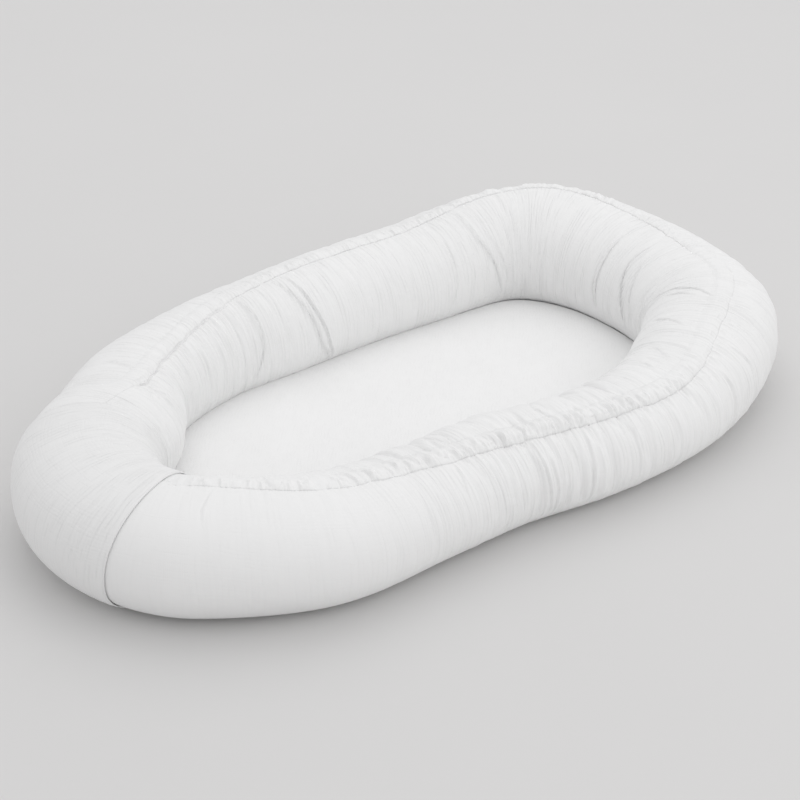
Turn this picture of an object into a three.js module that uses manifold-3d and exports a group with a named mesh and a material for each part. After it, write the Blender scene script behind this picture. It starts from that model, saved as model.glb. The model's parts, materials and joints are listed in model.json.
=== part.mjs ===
// Infant lounger: a soft oval ring of padded muslin round a thin mattress, with a wide sliding sleeve
// at the foot.
// Millimetres, +Z up, +X towards the head end. The origin lies on the floor, under the middle of the outline.
import * as THREE from 'three';
import { mergeVertices } from 'three/addons/utils/BufferGeometryUtils.js';
import Module from 'manifold-3d';

// Overall sizes
const nestLength = 885;
const nestWidth = 515;
const tubeWidth = 150;
const tubeHeight = 120;
const sectionPower = 2.15;
const fullTurnAngle = 360;
const restDrop = 4;

// Cloth, gaps and the steps of the outline
const panelThickness = 1;
const clearance = 0.3;
const seamGap = 0.4;
const stationPitch = 36;
const sideSteps = 6;
const undersideSteps = 4;
const weldLength = 0.003;

// Foot bend: an arc of constant section, so that the sleeve can slide along it
const footCentreX = -239;
const footCentreY = -31.5;
const footRadius = 131;
const footFromAngle = 114;
const footToAngle = 222;
const footArcSteps = 14;
const footWidth = 142;
const footHeight = 116;
const footSeamLeanAngle = -9;
const footLift = 2.3;

// Where the two ends of the ring meet, under the sleeve
const joinAngle = 201;
const joinGap = 0.6;
const endCapThickness = 1;

// Sleeve
const sleeveFromAngle = 128;
const sleeveToAngle = 208;
const sleeveThickness = 1.2;
const sleeveClearance = 0.8;

// Lower seams of the ring, as angles below the horizontal
const lowerSeamAngle = 48;

// Gathered casing on the top seam and the elastic in it. It lies inwards of the seam on the near side and
// outwards of it on the far side; the side shares say how fast it changes over and where.
const casingWidth = 18;
const casingHeight = 5;
const casingWall = 0.8;
const casingLeanAngle = 9;
const casingSeat = 0.6;
const casingNearEndAngle = 213;
const casingSideShare = 1.6;
const casingMiddleShare = 0.4;
const elasticWidth = 9;
const elasticThickness = 1.4;

// Section of the casing: across as shares of half its width, up as shares of half its height
const casingSectionShares = [
  [-1, 0.3], [-0.55, 1], [0, 1.15], [0.55, 1], [1, 0.3], [0.8, -1], [0, -1], [-0.8, -1],
];

// Base cloth and mattress
const wellRise = 9;
const baseSlotLength = 306;
const baseSlotWidth = 12;
const coverThickness = 0.8;
const coverEase = 0.5;
const foamThickness = 9;
const foamEdgeDraw = 3;
const mattressCrown = 5;
const mattressSideGap = 3;
const wellCentreX = 20;
const wellCentreY = 0;

// How far the well reaches under the tube, from its centre line inwards, as a share of the tube's width
const wellReachShare = 0.42;

// Rings of the sheets in the well and of the crown, as shares of the way from the middle to the edge
const wellShares = [0, 0.35, 0.7, 1];
const crownShares = [0, 0.5, 0.85];

// Zip in the base cloth
const zipLength = 300;
const zipY = 0;
const tapeWidth = 13;
const tapeThickness = 0.6;
const tapeOverrun = 8;
const coilWidth = 2.2;
const coilThickness = 1.4;
const coilGap = 0.2;
const sliderLength = 12;
const sliderPlate = 1;
const sliderWall = 1.6;
const sliderRunningGap = 0.5;
const lugLength = 8;
const lugWidth = 1.6;
const lugHeight = 2.3;
const lugWindow = 5;
const lugBar = 0.8;
const pullLength = 24;
const pullWidth = 7;
const pullThickness = 1;
const pullHoleWidth = 3.4;
const pinSides = 8;
const stopLength = 2.4;
const cutOverrun = 2;

// The ring beyond the foot bend: place along and across as shares of half the length and half the width,
// then its width and height as shares of the tube's, and the top seam's lean outwards in degrees.
const ringShares = [
  [-0.533, -0.68, 0.95, 0.9, 2],
  [-0.265, -0.7, 0.87, 0.81, 13],
  [-0.05, -0.7, 0.86, 0.81, 24],
  [0.205, -0.76, 0.83, 0.78, 25],
  [0.42, -0.735, 0.87, 0.8, 30],
  [0.575, -0.65, 0.94, 0.9, 19],
  [0.76, -0.435, 0.99, 0.99, 14],
  [0.82, -0.175, 1.01, 0.98, 9],
  [0.815, 0.27, 1, 1.02, 10],
  [0.74, 0.555, 0.98, 1.07, 14],
  [0.62, 0.7, 0.92, 1.02, 9],
  [0.37, 0.74, 0.88, 0.94, 0],
  [0.165, 0.75, 0.85, 0.94, -1],
  [-0.06, 0.73, 0.81, 0.94, -1],
  [-0.288, 0.702, 0.75, 0.93, -17],
  [-0.52, 0.566, 0.797, 0.94, -32],
];

const radians = THREE.MathUtils.degToRad;
const wasm = await Module();
wasm.setup();

// Soft colours of the cloth and the plastic
const clothRoughness = 0.95;
const plasticRoughness = 0.5;
const muslin = 0xe6e6e5;
const lining = 0xdededc;
const fibre = 0xf4f4f2;
const elasticWhite = 0xeeeeec;
const zipWhite = 0xe2e2e0;

function cloth(name, tone) {
  return new THREE.MeshStandardMaterial({ name, color: tone, roughness: clothRoughness, metalness: 0 });
}

function plastic(name, tone) {
  return new THREE.MeshStandardMaterial({ name, color: tone, roughness: plasticRoughness, metalness: 0 });
}

// One control of the ring: centre, width, height, seam lean and how far the floor is held away
function footControl(angle) {
  return [
    footCentreX + footRadius * Math.cos(radians(angle)),
    footCentreY + footRadius * Math.sin(radians(angle)),
    footWidth, footHeight, footSeamLeanAngle, footLift,
  ];
}

function shareControl([along, across, wide, high, lean]) {
  return [along * nestLength / 2, across * nestWidth / 2, wide * tubeWidth, high * tubeHeight, lean, 0];
}

// Centripetal Catmull-Rom step between two controls, t from 0 to 1
function blendControls(a, b, c, d, t) {
  const span = (p, q) => Math.sqrt(Math.hypot(q[0] - p[0], q[1] - p[1]));
  const [s0, s1, s2] = [span(a, b), span(b, c), span(c, d)];
  return b.map((_, k) => {
    const m1 = ((b[k] - a[k]) / s0 - (c[k] - a[k]) / (s0 + s1) + (c[k] - b[k]) / s1) * s1;
    const m2 = ((c[k] - b[k]) / s1 - (d[k] - b[k]) / (s1 + s2) + (d[k] - c[k]) / s2) * s1;
    const t2 = t * t;
    const t3 = t2 * t;
    return b[k] * (2 * t3 - 3 * t2 + 1) + m1 * (t3 - 2 * t2 + t) + c[k] * (3 * t2 - 2 * t3) + m2 * (t3 - t2);
  });
}

// Stations round the ring, from the join past the near side, the head and the far side back to the join
function ringStations() {
  const outer = ringShares.map(shareControl);
  const arcStep = (footToAngle - footFromAngle) / footArcSteps;
  const samples = [];
  const nearArc = Math.round((footToAngle - joinAngle) / arcStep);
  for (let k = 0; k <= nearArc; k += 1) {
    const angle = joinAngle + (footToAngle - joinAngle) * k / nearArc;
    samples.push({ angle, control: footControl(angle) });
  }
  const loop = [
    footControl(footToAngle - arcStep), footControl(footToAngle), ...outer,
    footControl(footFromAngle), footControl(footFromAngle + arcStep),
  ];
  for (let k = 1; k < loop.length - 2; k += 1) {
    const length = Math.hypot(loop[k + 1][0] - loop[k][0], loop[k + 1][1] - loop[k][1]);
    const count = Math.max(2, Math.round(length / stationPitch));
    for (let j = 1; j <= count; j += 1) {
      samples.push({ control: blendControls(loop[k - 1], loop[k], loop[k + 1], loop[k + 2], j / count) });
    }
  }
  samples[samples.length - 1].angle = footFromAngle;
  const farArc = Math.round((joinAngle - footFromAngle) / arcStep);
  for (let k = 1; k <= farArc; k += 1) {
    const angle = footFromAngle + (joinAngle - footFromAngle) * k / farArc;
    samples.push({ angle, control: footControl(angle) });
  }
  return samples.map(({ angle, control }, i) => {
    const [x, y, width, height, lean, lift] = control;
    let outward;
    if (angle === undefined) {
      const before = samples[i - 1].control;
      const after = samples[i + 1].control;
      outward = new THREE.Vector2(after[1] - before[1], before[0] - after[0]).normalize();
    } else {
      outward = new THREE.Vector2(Math.cos(radians(angle)), Math.sin(radians(angle)));
    }
    return { x, y, width, height, lean, lift: Math.max(lift, 0), outward, angle };
  });
}

// A point of a station's section: 0 degrees faces out, 90 up, 180 into the well;
// inset is the depth below the cloth
function sectionPoint(station, degrees, inset) {
  const c = Math.cos(radians(degrees));
  const s = Math.sin(radians(degrees));
  const power = 2 / sectionPower;
  const halfWidth = station.width / 2 - inset;
  const halfHeight = (station.height + restDrop) / 2 - inset;
  const across = halfWidth * Math.sign(c) * Math.abs(c) ** power;
  const rise = halfHeight * Math.sign(s) * Math.abs(s) ** power;
  const z = Math.max((station.height - restDrop) / 2 + rise, station.lift + inset);
  return offsetPoint(station, across, z);
}

// A point beside a station's centre: positive offsets lie outside the ring's centre line
function offsetPoint(station, offset, z) {
  return new THREE.Vector3(station.x + station.outward.x * offset, station.y + station.outward.y * offset, z);
}

// The same station turned a little along the foot bend, for the caps and the sleeve
function footStation(angle) {
  const [x, y, width, height, lean, lift] = footControl(angle);
  const outward = new THREE.Vector2(Math.cos(radians(angle)), Math.sin(radians(angle)));
  return { x, y, width, height, lean, lift, outward, angle };
}

// A closed mesh from a list of points and triangles
function solid(points, faces) {
  const geometry = new THREE.BufferGeometry();
  const places = points.flatMap((point) => point.toArray());
  geometry.setAttribute('position', new THREE.Float32BufferAttribute(places, 3));
  geometry.setIndex(faces.flat());
  return geometry;
}

// Turns a closed mesh inside out where its volume says that its faces point in
function facingOut(geometry) {
  const p = geometry.attributes.position;
  const index = geometry.index.array;
  const [a, b, c] = [new THREE.Vector3(), new THREE.Vector3(), new THREE.Vector3()];
  let volume = 0;
  for (let k = 0; k < index.length; k += 3) {
    a.fromBufferAttribute(p, index[k]);
    b.fromBufferAttribute(p, index[k + 1]);
    c.fromBufferAttribute(p, index[k + 2]);
    volume += a.dot(b.cross(c));
  }
  if (volume < 0) {
    for (let k = 0; k < index.length; k += 3) {
      [index[k], index[k + 1]] = [index[k + 1], index[k]];
    }
  }
  return geometry;
}

// A sheet of cloth: rows by columns of cells with an upper and a lower side,
// walled wherever a cell has no neighbour
function sheet(rows, columns, upper, lower, wraps = false, present = () => true) {
  const width = wraps ? columns : columns + 1;
  const points = [];
  for (const side of [upper, lower]) {
    for (let i = 0; i <= rows; i += 1) {
      for (let j = 0; j < width; j += 1) points.push(side(i, j));
    }
  }
  const wrapped = (j) => (wraps ? (j + columns) % columns : j);
  const id = (layer, i, j) => layer * (rows + 1) * width + i * width + wrapped(j);
  const inside = (i, j) => {
    if (i < 0 || i >= rows) return false;
    if (!wraps && (j < 0 || j >= columns)) return false;
    return present(i, wrapped(j));
  };
  const faces = [];
  const quad = (a, b, c, d) => faces.push([a, b, c], [a, c, d]);
  for (let i = 0; i < rows; i += 1) {
    for (let j = 0; j < columns; j += 1) {
      if (!inside(i, j)) continue;
      quad(id(0, i, j), id(0, i + 1, j), id(0, i + 1, j + 1), id(0, i, j + 1));
      quad(id(1, i, j), id(1, i, j + 1), id(1, i + 1, j + 1), id(1, i + 1, j));
      const wall = (i0, j0, i1, j1) => quad(id(0, i0, j0), id(0, i1, j1), id(1, i1, j1), id(1, i0, j0));
      if (!inside(i - 1, j)) wall(i, j, i, j + 1);
      if (!inside(i + 1, j)) wall(i + 1, j + 1, i + 1, j);
      if (!inside(i, j - 1)) wall(i + 1, j, i, j);
      if (!inside(i, j + 1)) wall(i, j + 1, i + 1, j + 1);
    }
  }
  return facingOut(tidied(solid(points, faces)));
}

// Welds equal points, drops triangles that have lost their area and keeps only positions
function tidied(geometry) {
  const merged = mergeVertices(geometry, weldLength);
  const index = merged.index.array;
  const kept = [];
  for (let k = 0; k < index.length; k += 3) {
    const [a, b, c] = [index[k], index[k + 1], index[k + 2]];
    if (a !== b && b !== c && c !== a) kept.push(a, b, c);
  }
  merged.setIndex(kept);
  return merged;
}

// A run of loops skinned from end to end; with inner loops the run is a hollow tube, open at its ends
function loft(outerLoops, innerLoops) {
  const count = outerLoops[0].length;
  const runs = outerLoops.length;
  const points = [...outerLoops.flat(), ...(innerLoops ? innerLoops.flat() : [])];
  const id = (layer, i, k) => layer * runs * count + i * count + (k % count);
  const faces = [];
  const quad = (a, b, c, d) => faces.push([a, b, c], [a, c, d]);
  for (let i = 0; i < runs - 1; i += 1) {
    for (let k = 0; k < count; k += 1) {
      quad(id(0, i, k), id(0, i + 1, k), id(0, i + 1, k + 1), id(0, i, k + 1));
      if (innerLoops) quad(id(1, i, k), id(1, i, k + 1), id(1, i + 1, k + 1), id(1, i + 1, k));
    }
  }
  for (const i of [0, runs - 1]) {
    for (let k = 0; k < count; k += 1) {
      const flip = i !== 0;
      if (innerLoops) {
        const ring = [id(0, i, k), id(0, i, k + 1), id(1, i, k + 1), id(1, i, k)];
        quad(...(flip ? ring.reverse() : ring));
      } else if (k > 0 && k < count - 1) {
        const fan = [id(0, i, 0), id(0, i, k), id(0, i, k + 1)];
        faces.push(flip ? fan.reverse() : fan);
      }
    }
  }
  return facingOut(tidied(solid(points, faces)));
}

// Even steps from one value to another
function steps(from, to, count) {
  return Array.from({ length: count + 1 }, (_, k) => from + (to - from) * k / count);
}

// Solid for joining and cutting, and back again
function manifoldOf(geometry) {
  const plain = geometry.index ? geometry.clone() : geometry;
  plain.deleteAttribute('normal');
  plain.deleteAttribute('uv');
  const merged = mergeVertices(plain);
  return new wasm.Manifold(new wasm.Mesh({
    numProp: 3,
    vertProperties: new Float32Array(merged.attributes.position.array),
    triVerts: new Uint32Array(merged.index.array),
  }));
}

function geometryOf(manifold) {
  const mesh = manifold.getMesh();
  const geometry = new THREE.BufferGeometry();
  geometry.setAttribute('position', new THREE.Float32BufferAttribute(mesh.vertProperties, 3));
  geometry.setIndex([...mesh.triVerts]);
  return geometry;
}

// A block by its size and the middle of its underside
function block(length, width, height, x, y, z) {
  return new THREE.BoxGeometry(length, width, height).translate(x, y, z + height / 2);
}

const stations = ringStations();
const isFoot = (station) => station.angle !== undefined;

// Angle of the top seam at a station, and the angle that a length along the cloth spans there
const seamAngle = (station) => 90 - station.lean;
const arcDegrees = (station, length) => THREE.MathUtils.radToDeg(2 * length / station.height);

// The ring's stations without its two end ones, which step back from the join by a given length
function bodyStations(setBack) {
  const turn = turnOf(setBack);
  return [footStation(joinAngle + turn), ...stations.slice(1, -1), footStation(joinAngle - turn)];
}

const capSetBack = joinGap / 2;
const panelSetBack = capSetBack + endCapThickness + clearance;

const lowerOuter = fullTurnAngle - lowerSeamAngle;
const lowerInner = fullTurnAngle / 2 + lowerSeamAngle;

// All layers of the ring share these section angles, so that their facets stay parallel:
// from the top seam down into the well, under the ring and up its outer side
function sectionAngles(station) {
  const seam = seamAngle(station);
  return [
    ...steps(seam, lowerInner, sideSteps).slice(0, -1),
    ...steps(lowerInner, lowerOuter, undersideSteps).slice(0, -1),
    ...steps(lowerOuter, seam + fullTurnAngle, sideSteps).slice(0, -1),
  ];
}

function sectionLoop(station, inset) {
  return sectionAngles(station).map((angle) => sectionPoint(station, angle, inset));
}

// The shared angles between two of them, drawn in at both ends by lengths along the cloth
function trimmedAngles(station, from, to, count, fromTrim, toTrim) {
  const angles = steps(from, to, count);
  angles[0] += arcDegrees(station, fromTrim);
  angles[count] -= arcDegrees(station, toTrim);
  return angles;
}

// A strip of the ring's cloth along a run of stations, from the angles of its cells' corners
function panel(run, anglesAt) {
  const angles = run.map(anglesAt);
  const at = (inset) => (i, j) => sectionPoint(run[i], angles[i][j], inset);
  return sheet(run.length - 1, angles[0].length - 1, at(0), at(panelThickness));
}

function outerPanel() {
  return panel(bodyStations(panelSetBack), (station) => {
    const seam = seamAngle(station) + fullTurnAngle;
    return trimmedAngles(station, lowerOuter, seam, sideSteps, seamGap / 2, seamGap / 2);
  });
}

// The inner panel's lower edge stands clear of the base cloth, which turns off into the well there
function innerPanel() {
  const lowerTrim = seamGap / 2 + 2 * panelThickness;
  return panel(bodyStations(panelSetBack), (station) => (
    trimmedAngles(station, seamAngle(station), lowerInner, sideSteps, seamGap / 2, lowerTrim)
  ));
}

const undersideAngles = (station) => (
  trimmedAngles(station, lowerInner, lowerOuter, undersideSteps, seamGap / 2, seamGap / 2)
);
const turnOf = (length) => THREE.MathUtils.radToDeg(length / footRadius);

// Under the foot bend the ring has a strip of its own on each side of the join,
// because the base cloth stops short of the sleeve
function undersideStrip(side, arcEnd) {
  const between = stations.filter(({ angle }) => (
    side * (angle - joinAngle) > turnOf(panelSetBack) && side * (arcEnd - angle) > turnOf(seamGap)
  ));
  const run = [
    footStation(joinAngle + side * turnOf(panelSetBack)),
    ...between,
    footStation(arcEnd - side * turnOf(seamGap)),
  ].sort((a, b) => a.angle - b.angle);
  return panel(run, undersideAngles);
}

function bolsterFilling() {
  return loft(bodyStations(panelSetBack).map((station) => sectionLoop(station, panelThickness + clearance)));
}

// A round end of the ring, set back from the join on one side
function endCap(side) {
  return loft([capSetBack, capSetBack + endCapThickness].map((setBack) => (
    sectionLoop(footStation(joinAngle + side * turnOf(setBack)), panelThickness)
  )));
}

// Sleeve: a constant section swept along the foot bend, closed all round the ring
function footSleeve() {
  const count = Math.round((sleeveToAngle - sleeveFromAngle) * footArcSteps / (footToAngle - footFromAngle));
  const run = steps(sleeveFromAngle, sleeveToAngle, count).map(footStation);
  const loops = (inset) => run.map((station) => sectionLoop(station, inset));
  return loft(loops(-sleeveClearance - sleeveThickness), loops(-sleeveClearance));
}

// Casing and elastic follow the top seam from the near edge of the sleeve round to the foot bend's far end
function casingRun() {
  const first = stations.findIndex((station) => !isFoot(station));
  const last = stations.findLastIndex((station) => !isFoot(station));
  return [footStation(casingNearEndAngle), ...stations.slice(first - 1, last + 1)];
}

// Middle of the casing at a station
function casingAngle(station) {
  const side = THREE.MathUtils.clamp(-casingSideShare * station.outward.y - casingMiddleShare, -1, 1);
  return seamAngle(station) + casingLeanAngle * side;
}

// A flat oval on the cloth, from half its width, its foot above the cloth and its top
function ovalLoop(station, halfWidth, low, high) {
  const middle = (low + high) / 2;
  return casingSectionShares.map(([across, rise]) => {
    const degrees = casingAngle(station) + arcDegrees(station, across * halfWidth);
    return sectionPoint(station, degrees, -(middle + rise * (high - low) / 2));
  });
}

function topCasing() {
  const run = casingRun();
  const low = casingSeat;
  const outer = run.map((station) => ovalLoop(station, casingWidth / 2, low, low + casingHeight));
  const inner = run.map((station) => ovalLoop(
    station, casingWidth / 2 - casingWall, low + casingWall, low + casingHeight - casingWall,
  ));
  return loft(outer, inner);
}

function casingElastic() {
  const middle = casingSeat + casingHeight / 2;
  const [low, high] = [middle - elasticThickness / 2, middle + elasticThickness / 2];
  const corners = [[-1, high], [1, high], [1, low], [-1, low]];
  return loft(casingRun().map((station) => corners.map(([side, height]) => {
    const degrees = casingAngle(station) + arcDegrees(station, side * elasticWidth / 2);
    return sectionPoint(station, degrees, -height);
  })));
}

// A point in the well, at a share of the way from its middle to an edge inside a station's centre line
function wellPoint(station, share, reach, z) {
  const edge = offsetPoint(station, -reach, z);
  return new THREE.Vector3(
    THREE.MathUtils.lerp(wellCentreX, edge.x, share),
    THREE.MathUtils.lerp(wellCentreY, edge.y, share),
    z,
  );
}

// Base cloth: flat under the ring, raised in the well, slotted for the zip and cut back at the foot bend
function basePanel() {
  const rows = wellShares.length + undersideSteps;
  const place = (inset) => (i, j) => {
    const station = stations[j];
    if (i < wellShares.length) {
      return wellPoint(station, wellShares[i], wellReachShare * station.width, wellRise + inset);
    }
    return sectionPoint(station, undersideAngles(station)[i - wellShares.length], inset);
  };
  const underRing = (j) => !isFoot(stations[j]) || !isFoot(stations[(j + 1) % stations.length]);
  const present = (i, j) => i < wellShares.length - 1 || underRing(j);
  const whole = sheet(rows, stations.length, place(0), place(panelThickness), true, present);
  const slot = block(baseSlotLength, baseSlotWidth, wellRise + cutOverrun, 0, zipY, wellRise / 2);
  return geometryOf(manifoldOf(whole).subtract(manifoldOf(slot)));
}

// How far inside the ring's centre line the mattress reaches at a station, clear of the sleeve at the foot
const mattressReach = (station) => wellReachShare * station.width + mattressSideGap;

// Mattress levels, from the base cloth up
const coverBottom = wellRise + panelThickness + clearance;
const foamBottom = coverBottom + coverThickness + clearance;
const foamTop = foamBottom + foamThickness;
const coverSeam = foamBottom + foamThickness / 2;

// The crown falls from the middle to nothing at the edge
const crownRise = (share) => mattressCrown * (1 - share * share);

// Mattress profiles are rows from the middle out: share of the way to the edge, step in from the edge
// and height. The upper one is the foam's crown grown by a distance, down to the edge.
function crownProfile(grow, edgeDraw, edgeZ) {
  return [
    ...crownShares.map((share) => [share, 0, foamTop + crownRise(share) + grow]),
    [1, foamEdgeDraw - grow / 2, foamTop + grow],
    [1, edgeDraw, edgeZ],
  ];
}

function mattressPoint(station, [share, draw, z]) {
  return wellPoint(station, share, mattressReach(station) + draw, z);
}

function mattressFoam() {
  const profile = [
    ...crownProfile(0, 0, coverSeam), [1, foamEdgeDraw, foamBottom], [crownShares[1], 0, foamBottom],
    [0, 0, foamBottom],
  ];
  return loft(profile.map((row) => stations.map((station) => mattressPoint(station, row))));
}

// A cover of the mattress from the profiles of its two sides
function cover(upper, lower) {
  const place = (profile) => (i, j) => mattressPoint(stations[j], profile[i]);
  return sheet(upper.length - 1, stations.length, place(upper), place(lower), true);
}

function mattressCoverTop() {
  const profile = (grow) => crownProfile(grow, -grow - seamGap / 2, coverSeam + seamGap / 2);
  return cover(profile(coverEase + coverThickness), profile(coverEase));
}

function mattressCoverBottom() {
  const profile = (grow) => {
    const z = foamBottom - grow;
    return [
      [0, 0, z], [crownShares[1], 0, z], [1, foamEdgeDraw - grow / 2, z], [1, -grow, coverSeam - seamGap / 2],
    ];
  };
  return cover(profile(clearance), profile(clearance + coverThickness));
}

// Zip levels, from the base cloth down to the pull tab
const tapeBottom = wellRise - clearance - tapeThickness;
const coilBottom = tapeBottom - clearance - coilThickness;
const plateTop = coilBottom - sliderRunningGap;
const plateBottom = plateTop - sliderPlate;
const sliderWallTop = tapeBottom - clearance;
const lugBottom = plateBottom - lugHeight;
const pinZ = plateBottom - (lugHeight - lugBar) / 2;
const pinRadius = (lugHeight - lugBar) / 2 - clearance;

// Slider's middle at rest, at the foot end of the zip beside its stop
const sliderX = -zipLength / 2 + stopLength + clearance + sliderLength / 2;

function zipTape(side) {
  const inner = coilGap / 2;
  const y = zipY + side * (inner + tapeWidth / 2);
  return block(zipLength + 2 * tapeOverrun, tapeWidth, tapeThickness, 0, y, tapeBottom);
}

function zipCoil(side) {
  return block(zipLength, coilWidth, coilThickness, 0, zipY + side * (coilGap + coilWidth) / 2, coilBottom);
}

// Half the width of the two coils side by side
const coilReach = coilGap / 2 + coilWidth;

// A clip round both coils at one end of the zip
function zipStop(side) {
  const width = 2 * (coilReach + sliderRunningGap) + sliderWall;
  const height = sliderWallTop - plateBottom;
  const x = side * (zipLength - stopLength) / 2;
  const shell = block(stopLength, width, height, x, zipY, plateBottom);
  const hollowLength = stopLength + 2 * cutOverrun;
  const hollow = block(hollowLength, 2 * (coilReach + clearance), height, x, zipY, coilBottom - clearance);
  return geometryOf(manifoldOf(shell).subtract(manifoldOf(hollow)));
}

// Slider: a channel round the coils with a bridge under it for the pull tab
function zipSlider() {
  const innerWidth = 2 * (coilReach + sliderRunningGap);
  const height = sliderWallTop - plateBottom;
  const body = block(sliderLength, innerWidth + 2 * sliderWall, height, sliderX, zipY, plateBottom);
  const channel = block(sliderLength + 2 * cutOverrun, innerWidth, height, sliderX, zipY, plateTop);
  const lug = block(lugLength, lugWidth, lugHeight + sliderPlate / 2, sliderX, zipY, lugBottom);
  const windowWidth = lugWidth + 2 * cutOverrun;
  const window = block(lugWindow, windowWidth, lugHeight - lugBar, sliderX, zipY, lugBottom + lugBar);
  return geometryOf(
    manifoldOf(body).subtract(manifoldOf(channel)).add(manifoldOf(lug).subtract(manifoldOf(window))),
  );
}

// Pull tab: a plate with two arms that hold a pin through the slider's bridge
function zipPull() {
  const plateZ = pinZ - pullThickness / 2;
  const plate = block(pullLength, pullWidth, pullThickness, sliderX + pullLength / 2, zipY, plateZ);
  const holeHeight = pullThickness + 2 * cutOverrun;
  const holeLength = lugLength + 2 * clearance;
  const hole = block(holeLength, pullHoleWidth, holeHeight, sliderX, zipY, plateZ - cutOverrun);
  const pin = new THREE.CylinderGeometry(pinRadius, pinRadius, pullWidth, pinSides);
  pin.translate(sliderX, zipY, pinZ);
  return geometryOf(manifoldOf(plate).subtract(manifoldOf(hole)).add(manifoldOf(pin)));
}

const group = new THREE.Group();

function add(name, geometry, material) {
  const mesh = new THREE.Mesh(geometry, material);
  mesh.name = name;
  group.add(mesh);
}

add('outer_panel', outerPanel(), cloth('muslin', muslin));
add('inner_panel', innerPanel(), cloth('muslin', muslin));
add('underside_strip_near', undersideStrip(1, footToAngle), cloth('lining', lining));
add('underside_strip_far', undersideStrip(-1, footFromAngle), cloth('lining', lining));
add('bolster_filling', bolsterFilling(), cloth('fibre', fibre));
add('end_cap_near', endCap(1), cloth('lining', lining));
add('end_cap_far', endCap(-1), cloth('lining', lining));
add('foot_sleeve', footSleeve(), cloth('muslin', muslin));
add('top_casing', topCasing(), cloth('muslin', muslin));
add('casing_elastic', casingElastic(), cloth('elastic', elasticWhite));
add('base_panel', basePanel(), cloth('lining', lining));
add('mattress_foam', mattressFoam(), cloth('fibre', fibre));
add('mattress_cover_top', mattressCoverTop(), cloth('muslin', muslin));
add('mattress_cover_bottom', mattressCoverBottom(), cloth('lining', lining));
add('zip_tape_near', zipTape(-1), cloth('tape', zipWhite));
add('zip_tape_far', zipTape(1), cloth('tape', zipWhite));
add('zip_coil_near', zipCoil(-1), plastic('zip_plastic', zipWhite));
add('zip_coil_far', zipCoil(1), plastic('zip_plastic', zipWhite));
add('zip_stop_foot', zipStop(-1), plastic('zip_plastic', zipWhite));
add('zip_stop_head', zipStop(1), plastic('zip_plastic', zipWhite));
add('zip_slider', zipSlider(), plastic('zip_plastic', zipWhite));
add('zip_pull', zipPull(), plastic('zip_plastic', zipWhite));

export default group;
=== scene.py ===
# Looks of the infant lounger: crinkled muslin over a stuffed ring, with a gathered casing on its top seam,
# a sleeve round the foot bend, a mattress in the well and a zip in the base cloth. Metres and degrees.
import json
import math
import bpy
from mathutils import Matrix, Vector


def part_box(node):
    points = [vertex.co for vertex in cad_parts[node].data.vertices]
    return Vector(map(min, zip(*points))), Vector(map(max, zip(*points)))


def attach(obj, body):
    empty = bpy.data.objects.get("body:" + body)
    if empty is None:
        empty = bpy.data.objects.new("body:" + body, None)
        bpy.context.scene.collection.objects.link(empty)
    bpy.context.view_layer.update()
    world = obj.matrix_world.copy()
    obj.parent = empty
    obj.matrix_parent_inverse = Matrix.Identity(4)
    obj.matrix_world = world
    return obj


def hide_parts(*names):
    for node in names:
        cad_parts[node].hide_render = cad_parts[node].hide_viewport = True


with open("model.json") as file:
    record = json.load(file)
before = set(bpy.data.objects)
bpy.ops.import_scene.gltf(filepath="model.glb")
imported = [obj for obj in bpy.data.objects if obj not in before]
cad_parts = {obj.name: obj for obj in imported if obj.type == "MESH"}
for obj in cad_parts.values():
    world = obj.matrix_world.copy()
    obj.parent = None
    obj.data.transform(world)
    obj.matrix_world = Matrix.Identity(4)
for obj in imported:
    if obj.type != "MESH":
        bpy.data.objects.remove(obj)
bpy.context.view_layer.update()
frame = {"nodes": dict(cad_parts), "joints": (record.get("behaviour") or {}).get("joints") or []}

from types import SimpleNamespace

import bpy
import numpy as np
from mathutils import Vector

mm = 0.001

# Sizes of the ring
nest_length = 0.885
nest_width = 0.515
tube_width = 0.150
tube_height = 0.120
section_power = 2.15
rest_drop = 4 * mm
foot_centre = (-0.239, -0.0315)
foot_radius = 0.131
foot_width = 0.142
foot_height = 0.116
foot_lean = -9
foot_lift = 2.3 * mm
join_angle = 201
foot_from_angle = 114
foot_to_angle = 222
foot_arc_steps = 14
join_gap = 0.6 * mm
lower_seam_angle = 48
panel_thickness = 1 * mm

# The ring beyond the foot bend: place along and across as shares of half the length and half the width,
# then its width and height as shares of the tube's, and the top seam's lean outwards in degrees
ring_shares = [
    (-0.533, -0.68, 0.95, 0.9, 2),
    (-0.265, -0.7, 0.87, 0.81, 13),
    (-0.05, -0.7, 0.86, 0.81, 24),
    (0.205, -0.76, 0.83, 0.78, 25),
    (0.42, -0.735, 0.87, 0.8, 30),
    (0.575, -0.65, 0.94, 0.9, 19),
    (0.76, -0.435, 0.99, 0.99, 14),
    (0.82, -0.175, 1.01, 0.98, 9),
    (0.815, 0.27, 1, 1.02, 10),
    (0.74, 0.555, 0.98, 1.07, 14),
    (0.62, 0.7, 0.92, 1.02, 9),
    (0.37, 0.74, 0.88, 0.94, 0),
    (0.165, 0.75, 0.85, 0.94, -1),
    (-0.06, 0.73, 0.81, 0.94, -1),
    (-0.288, 0.702, 0.75, 0.93, -17),
    (-0.52, 0.566, 0.797, 0.94, -32),
]

# Sleeve, casing and mattress
sleeve_from_angle = 128
sleeve_to_angle = 208
sleeve_stand = 2 * mm
sleeve_near_end = 206.8
sleeve_slant = 3.3
sleeve_slant_towards = 140
sleeve_far_slant = 5.5
casing_width = 18 * mm
casing_lean = 9
casing_near_angle = 213
casing_side_share = 1.6
casing_middle_share = 0.4
well_reach_share = 0.42
well_rise = 9 * mm
mattress_side_gap = 3 * mm

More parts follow.
